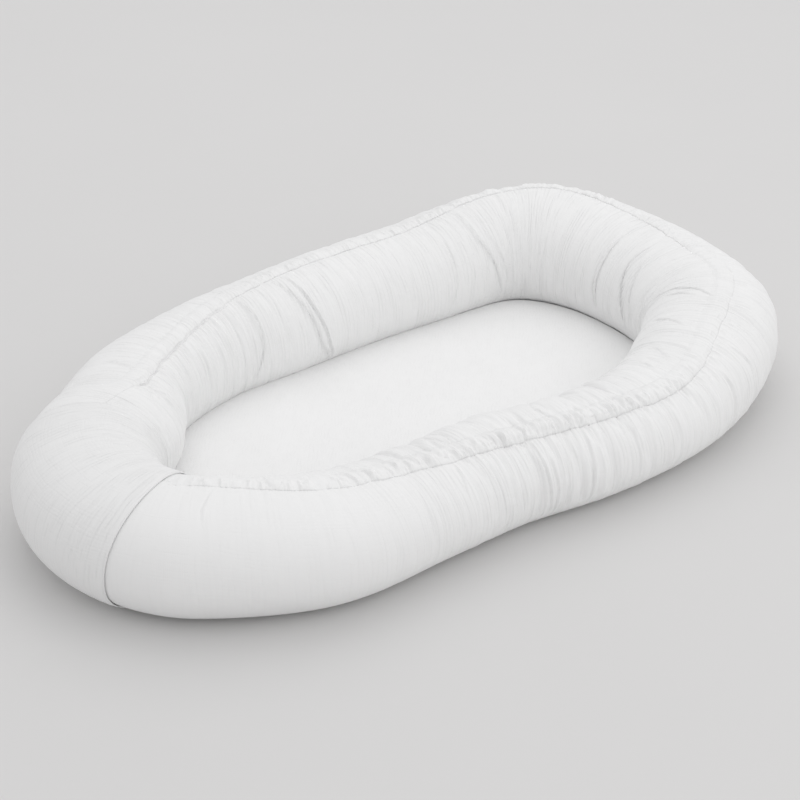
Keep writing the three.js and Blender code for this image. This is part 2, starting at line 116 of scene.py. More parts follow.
# Steps of the lines and the meshes
stretch_steps = 60
bend_steps = 240
evening_steps = 41
girth_steps = 90
lattice_steps = 257
ring_columns = 1800
panel_rows = 54
panel_crowd = 0.72
settle_columns = 900
settle_rows = 32
settle_frames = 14
stuffing_columns = 240
stuffing_rows = 48
sleeve_columns = 170
sleeve_rows = 130
casing_columns = 1800
casing_rows = 17
elastic_columns = 900
elastic_rows = 7
well_steps = 560
base_rows = 22
band_rows = 14


def foot_control(angle):
    """Centre, width, height, seam lean and lift of the ring's section at an angle of the foot bend."""
    turn = math.radians(angle)
    x = foot_centre[0] + foot_radius * math.cos(turn)
    y = foot_centre[1] + foot_radius * math.sin(turn)
    return np.array([x, y, foot_width, foot_height, foot_lean, foot_lift])


def share_control(along, across, wide, high, lean):
    """The same for a row of the ring's shares."""
    x, y = along * nest_length / 2, across * nest_width / 2
    return np.array([x, y, wide * tube_width, high * tube_height, lean, 0])


def blend_controls(a, b, c, d, t):
    """A centripetal Catmull-Rom curve through four controls, between the middle two."""
    s0, s1, s2 = (math.sqrt(math.dist(p[:2], q[:2])) for p, q in ((a, b), (b, c), (c, d)))
    m1 = ((b - a) / s0 - (c - a) / (s0 + s1) + (c - b) / s1) * s1
    m2 = ((c - b) / s1 - (d - b) / (s1 + s2) + (d - c) / s2) * s1
    from_b = b * (2 * t**3 - 3 * t**2 + 1) + m1 * (t**3 - 2 * t**2 + t)
    return from_b + c * (3 * t**2 - 2 * t**3) + m2 * (t**3 - t**2)


def line_of(rows):
    """A line of controls with the direction out of the ring and the distance run."""
    tangent = np.gradient(rows[:, :2], axis=0)
    tangent /= np.linalg.norm(tangent, axis=1)[:, None]
    steps = np.linalg.norm(np.diff(rows[:, :2], axis=0), axis=1)
    x, y, width, height, lean, lift = rows.T
    return SimpleNamespace(
        x=x, y=y, width=width, height=height, lean=lean, lift=np.maximum(lift, 0),
        out_x=tangent[:, 1], out_y=-tangent[:, 0], run=np.concatenate([[0], np.cumsum(steps)]),
    )


def whole_ring():
    """The ring's centre line: from the join past the near side, the head and the far side back to it."""
    step = (foot_to_angle - foot_from_angle) / foot_arc_steps
    loop = [foot_control(foot_to_angle - step), foot_control(foot_to_angle)]
    loop += [share_control(*row) for row in ring_shares]
    loop += [foot_control(foot_from_angle), foot_control(foot_from_angle + step)]
    rows = [foot_control(a) for a in np.linspace(join_angle, foot_to_angle, stretch_steps, endpoint=False)]
    shares = np.linspace(0, 1, stretch_steps, endpoint=False)
    for k in range(1, len(loop) - 2):
        rows += [blend_controls(*loop[k - 1:k + 3], t) for t in shares]
    rows += [foot_control(a) for a in np.linspace(foot_from_angle, join_angle, bend_steps)]
    return line_of(evened(np.array(rows)))


def evened(rows):
    """The controls at even steps, with the turn spread out where the foot bend's arc starts and ends."""
    run = line_of(rows).run
    even = np.linspace(0, run[-1], int(run[-1] / mm), endpoint=False)
    window = np.hanning(evening_steps + 2)[1:-1]
    window /= window.sum()
    looped = [np.pad(np.interp(even, run, column), len(window) // 2, mode="wrap") for column in rows.T]
    made = np.stack([np.convolve(column, window, mode="valid") for column in looped], axis=1)
    return np.concatenate([made, made[:1]])


def part_of(line, start, end, count):
    """Even steps of a line between two distances."""
    return stations_of(line, np.linspace(start, end, count))


def stations_of(line, run):
    """A line's values at the distances given."""
    values = {k: np.interp(run, line.run, v) for k, v in vars(line).items() if k != "run"}
    length = np.hypot(values["out_x"], values["out_y"])
    values["out_x"] = values["out_x"] / length
    values["out_y"] = values["out_y"] / length
    return SimpleNamespace(run=run, **values)


def section_points(line, angles, inset=0.0):
    """Points of the ring's section at each station: 0 degrees faces out, 90 up, 180 into the well."""
    c, s = np.cos(np.radians(angles)), np.sin(np.radians(angles))
    power = 2 / section_power
    half_width = line.width[:, None] / 2 - inset
    half_height = (line.height[:, None] + rest_drop) / 2 - inset
    across = half_width * np.sign(c) * np.abs(c)**power
    rise = half_height * np.sign(s) * np.abs(s)**power
    z = np.maximum((line.height[:, None] - rest_drop) / 2 + rise, line.lift[:, None] + inset)
    x = line.x[:, None] + line.out_x[:, None] * across
    y = line.y[:, None] + line.out_y[:, None] * across
    return np.stack([x, y, z], axis=-1)


def strip_of_ring(line, start, end, rows, crowd=0.0, inset=0.0):
    """A strip of the ring's skin between two section angles: columns along the ring, rows away from the
    start. Rows lie evenly, or crowd towards the start."""
    fine = start[:, None] + (end - start)[:, None] * np.linspace(0, 1, girth_steps)
    lengths = np.linalg.norm(np.diff(section_points(line, fine, inset), axis=1), axis=2)
    run = np.concatenate([np.zeros((len(fine), 1)), np.cumsum(lengths, axis=1)], axis=1)
    share = np.linspace(0, 1, rows)
    share = share - crowd * share * (1 - share)
    angles = np.array([np.interp(share * r[-1], r, a) for r, a in zip(run, fine)])
    points = section_points(line, angles, inset)
    middle = np.stack([line.x, line.y, line.height / 2], axis=-1)[:, None, :]
    normals = grid_normals(points, points - middle)
    return SimpleNamespace(
        points=points, normals=normals, along=line.run[:, None] + 0 * angles, girth=share * run[:, -1:],
        fall=np.abs(angles - start[:, None]), share=line.run[:, None] / ring.run[-1] + 0 * angles,
        run=line.run, length=line.run[-1] - line.run[0],
    )


def grid_normals(points, outward):
    """Unit normals of a grid of points, turned to the side that outward names."""
    normals = np.cross(np.gradient(points, axis=0), np.gradient(points, axis=1))
    normals /= np.linalg.norm(normals, axis=2)[:, :, None] + 1e-12
    side = np.sign((normals * outward).sum(axis=2).mean())
    return normals * side


def smooth_step(t):
    """0 up to t = 0 and 1 from t = 1 on, with a soft change between."""
    t = np.clip(t, 0, 1)
    return t * t * (3 - 2 * t)


def soft_noise(u, v, seed):
    """Smooth random heights from -1 to 1 over a lattice of unit cells."""
    lattice = np.random.default_rng(seed).uniform(-1, 1, (lattice_steps, lattice_steps))
    iu, iv = np.floor(u).astype(int), np.floor(v).astype(int)
    fu, fv = smooth_step(u - iu), smooth_step(v - iv)
    left, right = iu % lattice_steps, (iu + 1) % lattice_steps
    low, high = iv % lattice_steps, (iv + 1) % lattice_steps
    a = lattice[left, low] * (1 - fu) + lattice[right, low] * fu
    b = lattice[left, high] * (1 - fu) + lattice[right, high] * fu
    return a * (1 - fv) + b * fv


# A crease's section, in widths of the crease: how far it reaches, how sharp its bottom is, and how far off
# and how wide the ridge beside it is
crease_reach_share = 5
crease_power = 1.4
ridge_place_share = 1.9
ridge_width_share = 1.2
seam_start = 2 * mm


def press_crease(height, strip, course, depth, width, ridge=0.0, fade=0.7):
    """Presses a crease into a strip's heights. Its course is points of (distance along, distance from the
    seam), and a ridge of cloth lies beside it, on the side of its sign. It fades out at its lower end, and at
    its upper end too where that is clear of the seam."""
    along, girth = np.array(course).T
    reach = crease_reach_share * width
    first = np.searchsorted(strip.run, along.min() - reach)
    last = np.searchsorted(strip.run, along.max() + reach)
    if last - first < 2:
        return
    g = strip.girth[first:last]
    t = np.clip((g - girth[0]) / max(girth[-1] - girth[0], mm), 0, 1)
    inside = (g >= girth[0] - mm) & (g <= girth[-1])
    taper = np.sin(math.pi * t)**fade if girth[0] > seam_start else (1 - t)**fade
    x = (strip.along[first:last] - np.interp(g, girth, along)) / width
    beside = (x - ridge_place_share * np.sign(ridge)) / ridge_width_share
    fold = np.exp(-np.abs(x)**crease_power) - abs(ridge) * np.exp(-beside**2)
    height[first:last] -= depth * taper * inside * fold


def scatter_creases(height, strip, rng, kinds, strength=None):
    """Random creases across the ring, as cloth gathers that is a little too long. Each kind gives its pitch
    along the ring, reach, depth and width in millimetres, then the share that starts at the seam and the
    slant."""
    for *sizes, at_seam, slant in kinds:
        scatter_kind(height, strip, rng, [size * mm for size in sizes], at_seam, slant, strength)


def scatter_kind(height, strip, rng, sizes, at_seam, slant, strength):
    """One kind of random crease: one for each pitch along the ring, each a little different."""
    pitch, reach, depth, width = sizes
    span = strip.girth[:, -1].mean()
    t = np.linspace(0, 1, 6)
    for _ in range(int(strip.length / pitch)):
        along = rng.uniform(strip.run[0], strip.run[-1])
        start = 0.0 if rng.random() < at_seam else rng.uniform(0.05, 0.85) * span
        end = min(start + reach * rng.uniform(0.35, 1.4), span)
        lean, bow = rng.normal(0, slant), rng.normal(0, 0.04) * (end - start)
        force = rng.uniform(0.4, 1.2) * (strength(along / ring_length) if strength else 1)
        course = np.stack([
            along + lean * (end - start) * t + bow * np.sin(math.pi * t), start + (end - start) * t,
        ], axis=1)
        wide, ridge = width * rng.uniform(0.7, 1.5), rng.uniform(-0.5, 0.5)
        press_crease(height, strip, course, depth * force, wide, ridge)


def shares_table(rows):
    """A function that runs through pairs of share along the ring and value."""
    at, values = zip(*rows)
    return lambda share: np.interp(share, at, values)


ring = whole_ring()
ring_length = ring.run[-1]
foot_metres = math.radians(1) * foot_radius

# Where the sleeve pinches the top seam, and how many degrees the seam is drawn into the well there
pinch_share = 0.8824
pinch_draw = shares_table([(0.85, 0), (pinch_share, 9), (0.896, 3), (0.91, 0)])


def seam_angle(line):
    """Section angle of the top seam at each station."""
    return 90 - line.lean + pinch_draw(line.run / ring_length)


def run_at(angle):
    """Distance along the ring of an angle of the foot bend: near stretch first, far one last."""
    if angle > join_angle:
        return (angle - join_angle) * foot_metres
    return ring_length - (join_angle - angle) * foot_metres


# How far the sleeve turns back, as its joint says, and over what distance the relief grows beyond its ends
sleeve_travel_angle = -min(j["range_deg"][0] for j in frame["joints"] if j["child"] == "sleeve")
sleeve_clear = 14 * mm


def clear_of_sleeve(share):
    """1 where the sleeve never reaches, 0 under it."""
    run = share * ring_length
    start, end = run_at(sleeve_to_angle), run_at(sleeve_from_angle - sleeve_travel_angle)
    return np.clip((run - start) / sleeve_clear, 0, 1) * np.clip((end - run) / sleeve_clear, 0, 1)


# Meshes


def grid_faces(columns, rows, closed_columns=False, closed_rows=False):
    """The four-cornered faces of a grid of points, joined up where it is closed."""
    i = np.arange(columns if closed_columns else columns - 1)
    j = np.arange(rows if closed_rows else rows - 1)
    i, j = (a.ravel() for a in np.meshgrid(i, j, indexing="ij"))
    i2, j2 = (i + 1) % columns, (j + 1) % rows
    return np.stack([i * rows + j, i2 * rows + j, i2 * rows + j2, i * rows + j2], axis=1)


def piece_of(name, points, faces, cloth=None):
    """An object from points, faces and, for a weave, each point's place on the flat cloth in metres."""
    mesh = bpy.data.meshes.new(name)
    mesh.from_pydata(np.asarray(points, float).tolist(), [], [list(f) for f in faces])
    if cloth is not None:
        layer = mesh.uv_layers.new(name="cloth")
        corners = np.concatenate([np.asarray(f) for f in faces]) if isinstance(faces, list) else faces.ravel()
        layer.data.foreach_set("uv", np.asarray(cloth, float)[corners].astype(np.float32).ravel())
    mesh.shade_smooth()
    piece = bpy.data.objects.new(name, mesh)
    bpy.context.scene.collection.objects.link(piece)
    return piece


def tube_faces(columns, rows):
    """The faces of a closed tube: its wall and the two ends."""
    ends = [list(range(rows))[::-1], [(columns - 1) * rows + k for k in range(rows)]]
    return grid_faces(columns, rows, closed_rows=True).tolist() + ends


def facing(faces, points, normals, probe=0):
    """The faces, all turned over where the one that probe counts to looks against the normals."""
    flat = points.reshape(-1, 3)
    face = faces[len(points) // 2 * (len(faces) // len(points)) + probe]
    a, b, c = flat[face[0]], flat[face[1]], flat[face[2]]
    turned = np.dot(np.cross(b - a, c - a), normals.reshape(-1, 3)[face[0]]) < 0
    return faces[:, ::-1] if turned else faces


def grid_piece(name, points, normals, cloth, thickness, **closed):
    """A sheet of cloth from a grid of its outer side, with its thickness on the other one."""
    columns, rows = points.shape[:2]
    faces = facing(grid_faces(columns, rows, **closed), points, normals, probe=rows // 2)
    piece = piece_of(name, points.reshape(-1, 3), faces, cloth.reshape(-1, 2))
    thicken(piece, thickness)
    return piece


def thicken(piece, thickness):
    """Gives a sheet its thickness, on the side away from its normals."""
    shell = piece.modifiers.new("thickness", "SOLIDIFY")
    shell.thickness, shell.offset = thickness, -1


def dress(piece, body, material, node):
    """Gives a piece its material and its body, and hides the node that it stands for."""
    piece.data.materials.clear()
    piece.data.materials.append(material)
    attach(piece, body)
    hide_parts(node)


# Materials


def new_group(name, inputs, outputs):
    """An empty shader group with named float, vector or colour sockets."""
    group = bpy.data.node_groups.new(name, "ShaderNodeTree")
    kinds = {"float": "NodeSocketFloat", "vector": "NodeSocketVector", "colour": "NodeSocketColor"}
    for socket, kind, value in inputs:
        made = group.interface.new_socket(socket, in_out="INPUT", socket_type=kinds[kind])
        if value is not None:
            made.default_value = value
    for socket, kind in outputs:
        group.interface.new_socket(socket, in_out="OUTPUT", socket_type=kinds[kind])
    return group, group.nodes.new("NodeGroupInput"), group.nodes.new("NodeGroupOutput")


def add_node(tree, kind, inputs=(), **settings):
    """A node with its settings, its inputs linked to sockets or set to values."""
    made = tree.nodes.new(kind)
    for key, value in settings.items():
        setattr(made, key, value)
    for key, value in dict(inputs).items():
        if isinstance(value, bpy.types.NodeSocket):
            tree.links.new(value, made.inputs[key])
        else:
            made.inputs[key].default_value = value
    return made


def maths(tree, operation, *values):
    return add_node(tree, "ShaderNodeMath", dict(enumerate(values)), operation=operation).outputs[0]


def noise_at(tree, across, along, seed, **settings):
    """A noise texture at a place given by two values, with a seed as the third."""
    place = add_node(tree, "ShaderNodeCombineXYZ", {0: across, 1: along, 2: seed}).outputs[0]
    inputs = {"Vector": place, "Scale": 1.0, "Detail": 1.0, **settings}
    return add_node(tree, "ShaderNodeTexNoise", inputs).outputs[0]


# The sets of lines in the crinkle: the side that they are counted along, the share of the pitch and the
# length, and a seed; then how strongly the first two count
crinkle_sets = ((0, 1.0, 1.0), (0, 0.62, 5.0), (1, 0.8, 9.0))
first_set_share = 0.7
second_set_share = 0.45


def crinkle_group():
    """Lines of crinkled muslin across the cloth, each fading out after a while, with a weak set the other
    way. Place is in metres on the flat cloth, Height is in millimetres, and Crease is 1 in the valleys: it
    masks where the painted shade goes."""
    group, start, end = new_group("muslin crinkle", [
        ("Place", "vector", None), ("Line pitch", "float", 0.0046), ("Line length", "float", 0.05),
        ("Depth", "float", 0.5), ("Cross depth", "float", 0.1),
    ], [("Height", "float"), ("Crease", "float")])
    place = add_node(group, "ShaderNodeSeparateXYZ", {0: start.outputs["Place"]})
    sides = (place.outputs[0], place.outputs[1])
    sets = []
    for side, share, seed in crinkle_sets:
        pitch = maths(group, "MULTIPLY", start.outputs["Line pitch"], share)
        length = maths(group, "MULTIPLY", start.outputs["Line length"], share)
        across, along = sides[side], sides[1 - side]
        seven_lines = maths(group, "DIVIDE", across, maths(group, "MULTIPLY", pitch, 7.0))
        two_lengths = maths(group, "DIVIDE", along, maths(group, "MULTIPLY", length, 1.8))
        waver = noise_at(group, seven_lines, two_lengths, seed, Roughness=0.5)
        wander = maths(group, "MULTIPLY", waver, 2.6)
        turns = maths(group, "ADD", maths(group, "DIVIDE", across, pitch), wander)
        ridge = maths(group, "ABSOLUTE", maths(group, "SINE", maths(group, "MULTIPLY", turns, math.pi)))
        ridge = maths(group, "POWER", ridge, 0.6)
        few_lines = maths(group, "DIVIDE", across, maths(group, "MULTIPLY", pitch, 1.5))
        strength = noise_at(group, few_lines, maths(group, "DIVIDE", along, length), seed + 2.5)
        shown = add_node(group, "ShaderNodeMapRange", {
            "Value": strength, "From Min": 0.36, "From Max": 0.66,
        }, interpolation_type="SMOOTHSTEP")
        valley = maths(group, "SUBTRACT", 1.0, ridge)
        sets.append(maths(group, "MULTIPLY", valley, shown.outputs[0]))
    main = maths(
        group, "ADD", maths(group, "MULTIPLY", sets[0], first_set_share),
        maths(group, "MULTIPLY", sets[1], second_set_share),
    )
    lines = maths(group, "MULTIPLY", main, start.outputs["Depth"])
    cross = maths(group, "MULTIPLY", sets[2], start.outputs["Cross depth"])
    low = maths(group, "MULTIPLY", maths(group, "ADD", lines, cross), -1.0)
    group.links.new(low, end.inputs["Height"])
    group.links.new(maths(group, "MINIMUM", main, 1.0), end.inputs["Crease"])
    return group


def weave_group():
    """The threads of a plain weave. Place is in metres on the flat cloth; Height is in millimetres."""
    group, start, end = new_group("plain weave", [
        ("Place", "vector", None), ("Thread pitch", "float", 0.0009), ("Depth", "float", 0.06),
    ], [("Height", "float")])
    place = add_node(group, "ShaderNodeSeparateXYZ", {0: start.outputs["Place"]})
    threads = []
    for side in (0, 1):
        turns = maths(group, "DIVIDE", place.outputs[side], start.outputs["Thread pitch"])
        threads.append(maths(group, "SINE", maths(group, "MULTIPLY", turns, 2 * math.pi)))
    place_on_cloth = start.outputs["Place"]
    slub = add_node(group, "ShaderNodeTexNoise", {"Vector": place_on_cloth, "Scale": 900.0, "Detail": 1.0})
    both = maths(group, "MULTIPLY", maths(group, "ADD", *threads), 0.3)
    height = maths(group, "MULTIPLY", maths(group, "ADD", both, slub.outputs[0]), start.outputs["Depth"])
    group.links.new(height, end.inputs["Height"])
    return group


def mottle_group():
    """Broad, faint changes of tone, as washed cloth has. Tone is near 1."""
    group, start, end = new_group("washed tone", [
        ("Place", "vector", None), ("Spread", "float", 0.05),
    ], [("Tone", "float")])
    place = start.outputs["Place"]
    cloud = add_node(group, "ShaderNodeTexNoise", {"Vector": place, "Scale": 9.0, "Detail": 3.0})
    tone = maths(group, "MULTIPLY", maths(group, "SUBTRACT", cloud.outputs[0], 0.5), start.outputs["Spread"])
    group.links.new(maths(group, "ADD", tone, 1.0), end.inputs["Tone"])
    return group


groups = {"crinkle": crinkle_group(), "weave": weave_group(), "mottle": mottle_group()}


def add_group(tree, name, **inputs):
    """One of the groups, placed in a material with its own values."""
    made = tree.nodes.new("ShaderNodeGroup")
    made.node_tree = groups[name]
    for key, value in inputs.items():
        socket = made.inputs[key.replace("_", " ")]
        if isinstance(value, bpy.types.NodeSocket):
            tree.links.new(value, socket)
        else:
            socket.default_value = value
    return made


def new_material(name):
    """A material with its node tree and its shader."""
    material = bpy.data.materials.new(name)
    material.use_nodes = True
    return material, material.node_tree, material.node_tree.nodes["Principled BSDF"]


def paint(tree, shader, colour, tone):
    """Paints the shader in a colour times a tone that changes over the surface."""
    mixed = add_node(tree, "ShaderNodeVectorMath", {0: colour, 1: tone}, operation="MULTIPLY")
    tree.links.new(mixed.outputs[0], shader.inputs["Base Color"])


def growing(tree, along, calm, value):
    """A quarter of the value up to the first of the calm's two distances, and all of it from the second."""
    return add_node(tree, "ShaderNodeMapRange", {
        "Value": along, "From Min": calm[0], "From Max": calm[1], "To Min": value * 0.25, "To Max": value,
    }).outputs[0]


def cloth_material(
    name, colour, turn=0.0, pitch=0.0046, length=0.05, depth=0.5, cross=0.1, weave=0.0009, shade=0.1,
    calm=None,
):
    """Woven cloth with crinkle lines, which run across the piece unless they are turned. Pitch, length and
    weave are in metres, depth and cross in millimetres, and shade is painted shade that darkens the colour in
    the valleys. Where two distances from the start of the cloth are given as calm, the lines are faint before
    them and grow between them."""
    material, tree, shader = new_material(name)
    shader.inputs["Roughness"].default_value = 0.92
    shader.inputs["Sheen Weight"].default_value = 0.25
    shader.inputs["Sheen Roughness"].default_value = 0.5
    shader.inputs["Specular IOR Level"].default_value = 0.2
    place = add_node(tree, "ShaderNodeUVMap", uv_map="cloth").outputs[0]
    about = {0: place, "Angle": math.radians(turn)}
    turned = add_node(tree, "ShaderNodeVectorRotate", about, rotation_type="Z_AXIS")
    if calm:
        along = add_node(tree, "ShaderNodeSeparateXYZ", {0: place}).outputs[0]
        depth = growing(tree, along, calm, depth)
        shade = growing(tree, along, calm, shade)
    lines = add_group(
        tree, "crinkle", Place=turned.outputs[0], Line_pitch=pitch, Line_length=length, Depth=depth,
        Cross_depth=cross,
    )
    threads = add_group(tree, "weave", Place=place, Thread_pitch=weave)
    tone = add_group(tree, "mottle", Place=place)
    height = maths(tree, "ADD", lines.outputs["Height"], threads.outputs["Height"])
    bump = add_node(tree, "ShaderNodeBump", {"Strength": 1.0, "Distance": mm, "Height": height})
    tree.links.new(bump.outputs[0], shader.inputs["Normal"])
    # Painted shade: the colour is darkened in the crinkle's valleys by the share shade
    painted_valley_shade = maths(tree, "MULTIPLY", lines.outputs["Crease"], shade)
    paint(tree, shader, colour, maths(tree, "SUBTRACT", tone.outputs["Tone"], painted_valley_shade))
    return material


def plastic_material(name, colour):
    """Moulded plastic with a fine grain."""
    material, tree, shader = new_material(name)
    place = add_node(tree, "ShaderNodeTexCoord").outputs["Object"]
    grain = add_node(tree, "ShaderNodeTexNoise", {"Vector": place, "Scale": 2500.0, "Detail": 2.0})
    grained = {"Strength": 0.3, "Distance": 0.1 * mm, "Height": grain.outputs[0]}
    bump = add_node(tree, "ShaderNodeBump", grained)
    tree.links.new(bump.outputs[0], shader.inputs["Normal"])
    rough = maths(tree, "ADD", maths(tree, "MULTIPLY", grain.outputs[0], 0.15), 0.35)
    tree.links.new(rough, shader.inputs["Roughness"])
    tone = add_node(tree, "ShaderNodeTexNoise", {"Vector": place, "Scale": 300.0})
    shade = maths(tree, "ADD", maths(tree, "MULTIPLY", tone.outputs[0], 0.06), 0.97)
    paint(tree, shader, colour, shade)
    return material


ring_white = (0.86, 0.86, 0.857)
# Painted shade: the sleeve's muslin is darker than the ring's to stand in for the shade on that side
sleeve_shaded_white = (0.83, 0.83, 0.827)
# Painted light: the mattress's muslin is lighter than the ring's to stand in for light in the shaded well
mattress_lit_white = (0.89, 0.89, 0.887)
base_white = (0.76, 0.76, 0.755)
fibre_white = (0.9, 0.9, 0.89)
foam_cream = (0.9, 0.89, 0.86)
elastic_white = (0.86, 0.86, 0.85)
zip_white = (0.78, 0.78, 0.77)

muslin = cloth_material("muslin", ring_white, depth=0.42, shade=0.07, calm=(0.14, 0.30))
sleeve_muslin = cloth_material("sleeve muslin", sleeve_shaded_white, depth=0.38, length=0.04, cross=0.16, shade=0.07)
mattress_muslin = cloth_material(
    "mattress muslin", mattress_lit_white, turn=42, pitch=0.0036, length=0.012, depth=0.12, cross=0.10,
    shade=0.04,
)
lining = cloth_material("base cotton", base_white, pitch=0.02, length=0.1, depth=0.3, cross=0.2, shade=0.03)
fibre = cloth_material("fibre", fibre_white, pitch=0.006, length=0.006, depth=0.8, cross=0.8, shade=0.1)
foam = cloth_material("foam", foam_cream, pitch=0.002, length=0.002, depth=0.3, cross=0.3, shade=0.05)
webbing = cloth_material(
    "elastic", elastic_white, pitch=0.001, length=0.02, depth=0.2, cross=0.3, weave=0.0007,
)
tape = cloth_material("zip tape", zip_white, turn=45, pitch=0.0012, length=0.004, depth=0.15, cross=0.1)
zip_plastic = plastic_material("zip plastic", zip_white)


# Ring cloth

# Strengths of the random creases by share along the ring, near side first
outer_strength = shares_table([
    (0, 0.25), (0.06, 0.2), (0.12, 0.35), (0.16, 0.7), (0.2, 1.15), (0.25, 1.2), (0.3, 1.0), (0.36, 0.9),
    (0.42, 0.8), (0.5, 0.7), (0.62, 0.7), (0.75, 0.6), (0.84, 0.8), (0.9, 0.6), (1, 0.4),
])
inner_strength = shares_table([
    (0, 0.5), (0.1, 0.8), (0.16, 1.2), (0.3, 1.2), (0.38, 0.9), (0.43, 0.45), (0.47, 0.6), (0.52, 0.35),
    (0.57, 0.6), (0.62, 0.6), (0.66, 0.4), (0.72, 0.6), (0.76, 0.7), (0.82, 0.7), (0.88, 0.8), (1, 0.4),
])

# Creases that the photo shows: depth and width in millimetres, side of the ridge,
# then points of (share along the ring, degrees from the top seam)
inner_folds = [
    (3.8, 2.4, 1.0, [(0.7415, 3), (0.7365, 40), (0.7298, 92), (0.7239, 112), (0.7222, 126)]),
    (3.4, 2.2, -0.8, [(0.7340, 4), (0.7306, 54), (0.7239, 98), (0.7205, 112), (0.7215, 124)]),
    (3.0, 2.2, 0.8, [(0.7681, 5), (0.7665, 40), (0.7681, 69), (0.7765, 98)]),
    (3.4, 2.6, 0.9, [(0.6063, 3), (0.6047, 48), (0.5947, 98), (0.5890, 118)]),
    (2.4, 2.4, 0.6, [(0.6275, 30), (0.6275, 62), (0.6285, 84), (0.6315, 104)]),
    (1.8, 2.2, 0.5, [(0.5975, 4), (0.5965, 50), (0.5855, 100)]),
    (5.0, 2.8, 0.9, [(0.4796, 30), (0.4787, 62), (0.4787, 82), (0.4760, 112)]),
    (5.0, 2.8, -0.9, [(0.4570, 28), (0.4580, 56), (0.4537, 75), (0.4420, 111)]),
    (2.6, 2.4, 0.6, [(0.3990, 70), (0.3960, 48), (0.3880, 26), (0.3760, 4)]),
    (2.2, 2.4, 0.6, [(0.3900, 60), (0.3850, 40), (0.3800, 24)]),
    (2.4, 2.4, 0.6, [(0.3610, 66), (0.3560, 46), (0.3480, 24)]),
    (2.4, 2.4, -0.6, [(0.3330, 58), (0.3240, 42), (0.3160, 22)]),
    (2.2, 2.4, 0.6, [(0.3090, 50), (0.3060, 30)]),
    (2.4, 2.8, 0.7, [(0.2300, 12), (0.2260, 34), (0.2280, 52)]),
    (2.4, 2.8, -0.7, [(0.1700, 14), (0.1740, 34), (0.1720, 50)]),
    (1.8, 2.4, 0.5, [(0.4500, 40), (0.4425, 70), (0.4325, 104)]),
    (2.6, 2.6, 0.6, [(0.8849, 4), (0.8916, 22), (0.8941, 35), (0.8957, 49), (0.8991, 65)]),
    (2.4, 2.6, 0.6, [(0.8830, 1), (0.8871, 17), (0.8904, 28), (0.8921, 44)]),
    (2.2, 2.6, -0.6, [(0.8791, 2), (0.8824, 13), (0.8866, 28), (0.8880, 44)]),
]
outer_folds = [
    (2.6, 3.0, 0.8, [(0.2085, 3), (0.2110, 48), (0.2130, 90)]),
    (3.2, 3.2, -0.8, [(0.2290, 2), (0.2270, 44), (0.2240, 100)]),
    (2.8, 3.0, 0.8, [(0.2400, 3), (0.2390, 48), (0.2380, 96)]),
    (2.4, 2.8, 0.6, [(0.2150, 20), (0.2170, 60), (0.2160, 100)]),
    (2.0, 2.6, 0.5, [(0.2661, 3), (0.2644, 35), (0.2644, 80)]),
    (1.8, 2.6, 0.5, [(0.1610, 2), (0.1570, 46)]),
    (1.6, 2.4, 0.5, [(0.0380, 3), (0.0330, 26), (0.0330, 42)]),
    (2.6, 2.6, 0.6, [(0.3290, 10), (0.3315, 40), (0.3305, 80)]),
    (2.2, 2.4, 0.6, [(0.3460, 14), (0.3500, 44), (0.3480, 76)]),
    (4.4, 3.0, 0.7, [(0.8574, 4), (0.8674, 7), (0.8732, 13), (0.8691, 26), (0.8632, 47)]),
]

# How strong the long, narrow creases are that run down from the seam side by side
outer_lines = shares_table([
    (0, 0.1), (0.1, 0.15), (0.16, 0.8), (0.2, 1.1), (0.3, 1.1), (0.36, 0.8), (0.42, 0.5), (0.5, 0.4),
    (0.75, 0.4), (0.85, 0.5), (1, 0.3),
])
inner_lines = shares_table([
    (0, 0.4), (0.35, 0.6), (0.42, 0.3), (0.5, 0.2), (0.6, 0.35), (0.66, 0.3), (0.73, 0.6), (0.79, 1.2),
    (0.88, 1.2), (1, 0.5),
])

# How full the casing stands by share along the ring: it lies flat where the photo shows a plain seam
casing_fullness = shares_table([
    (0.02, 0.45), (0.04, 0.75), (0.11, 0.8), (0.14, 0.9), (0.2, 1.25), (0.28, 1.25), (0.31, 0.8),
    (0.335, 0.3), (0.4, 0.15), (0.435, 0.5), (0.47, 0.8), (0.53, 0.7), (0.6, 0.8), (0.7, 0.8), (0.76, 0.6),
    (0.79, 0.2), (0.9, 0.1),
])

# Where the casing lies flat, the inner panel turns in sharply beside it, by this much
seam_groove = shares_table([
    (0.35, 0), (0.37, 1.8 * mm), (0.445, 1.8 * mm), (0.47, 0), (0.76, 0), (0.79, 2.0 * mm), (0.884, 2.2 * mm),
    (0.89, 0),
])
groove_stand = 1.4 * mm
groove_width = 1.2 * mm

# Kinds of random crease: pitch along the ring, reach, depth and width in millimetres, the share that starts
# at the seam, and the slant
settling_creases = [(9, 110, 2.1, 3.4, 0.7, 0.12), (6, 16, 1.5, 2.4, 1.0, 0.12)]
panel_creases = [(7, 70, 1.1, 2.6, 0.5, 0.12), (7, 30, 1.1, 2.2, 1.0, 0.2), (3.4, 13, 0.8, 1.1, 1.0, 0.15)]
casing_creases = [(3.2, 22, 1.8, 1.1, 0.6, 0.35), (8, 26, 3.0, 1.8, 0.6, 0.3)]
sleeve_creases = [(2.6, 90, 0.5, 1.6, 0.0, 0.08), (8, 60, 1.0, 3.0, 0.0, 0.15)]

# A fold longer than this keeps its depth almost to its ends
long_fold = 60 * mm
long_fold_fade = 0.45
short_fold_fade = 0.9

# The narrow lines that run down from the seam
line_pitch = 4.6 * mm
line_depth = 0.65 * mm
line_width = 1.2 * mm
line_drift = 2.5 * mm
line_bow = 1.5 * mm
line_fade = 0.3

# The dimple in the seam under the sleeve's pinch
dimple_depth = 4.5 * mm
dimple_reach = 8 * mm


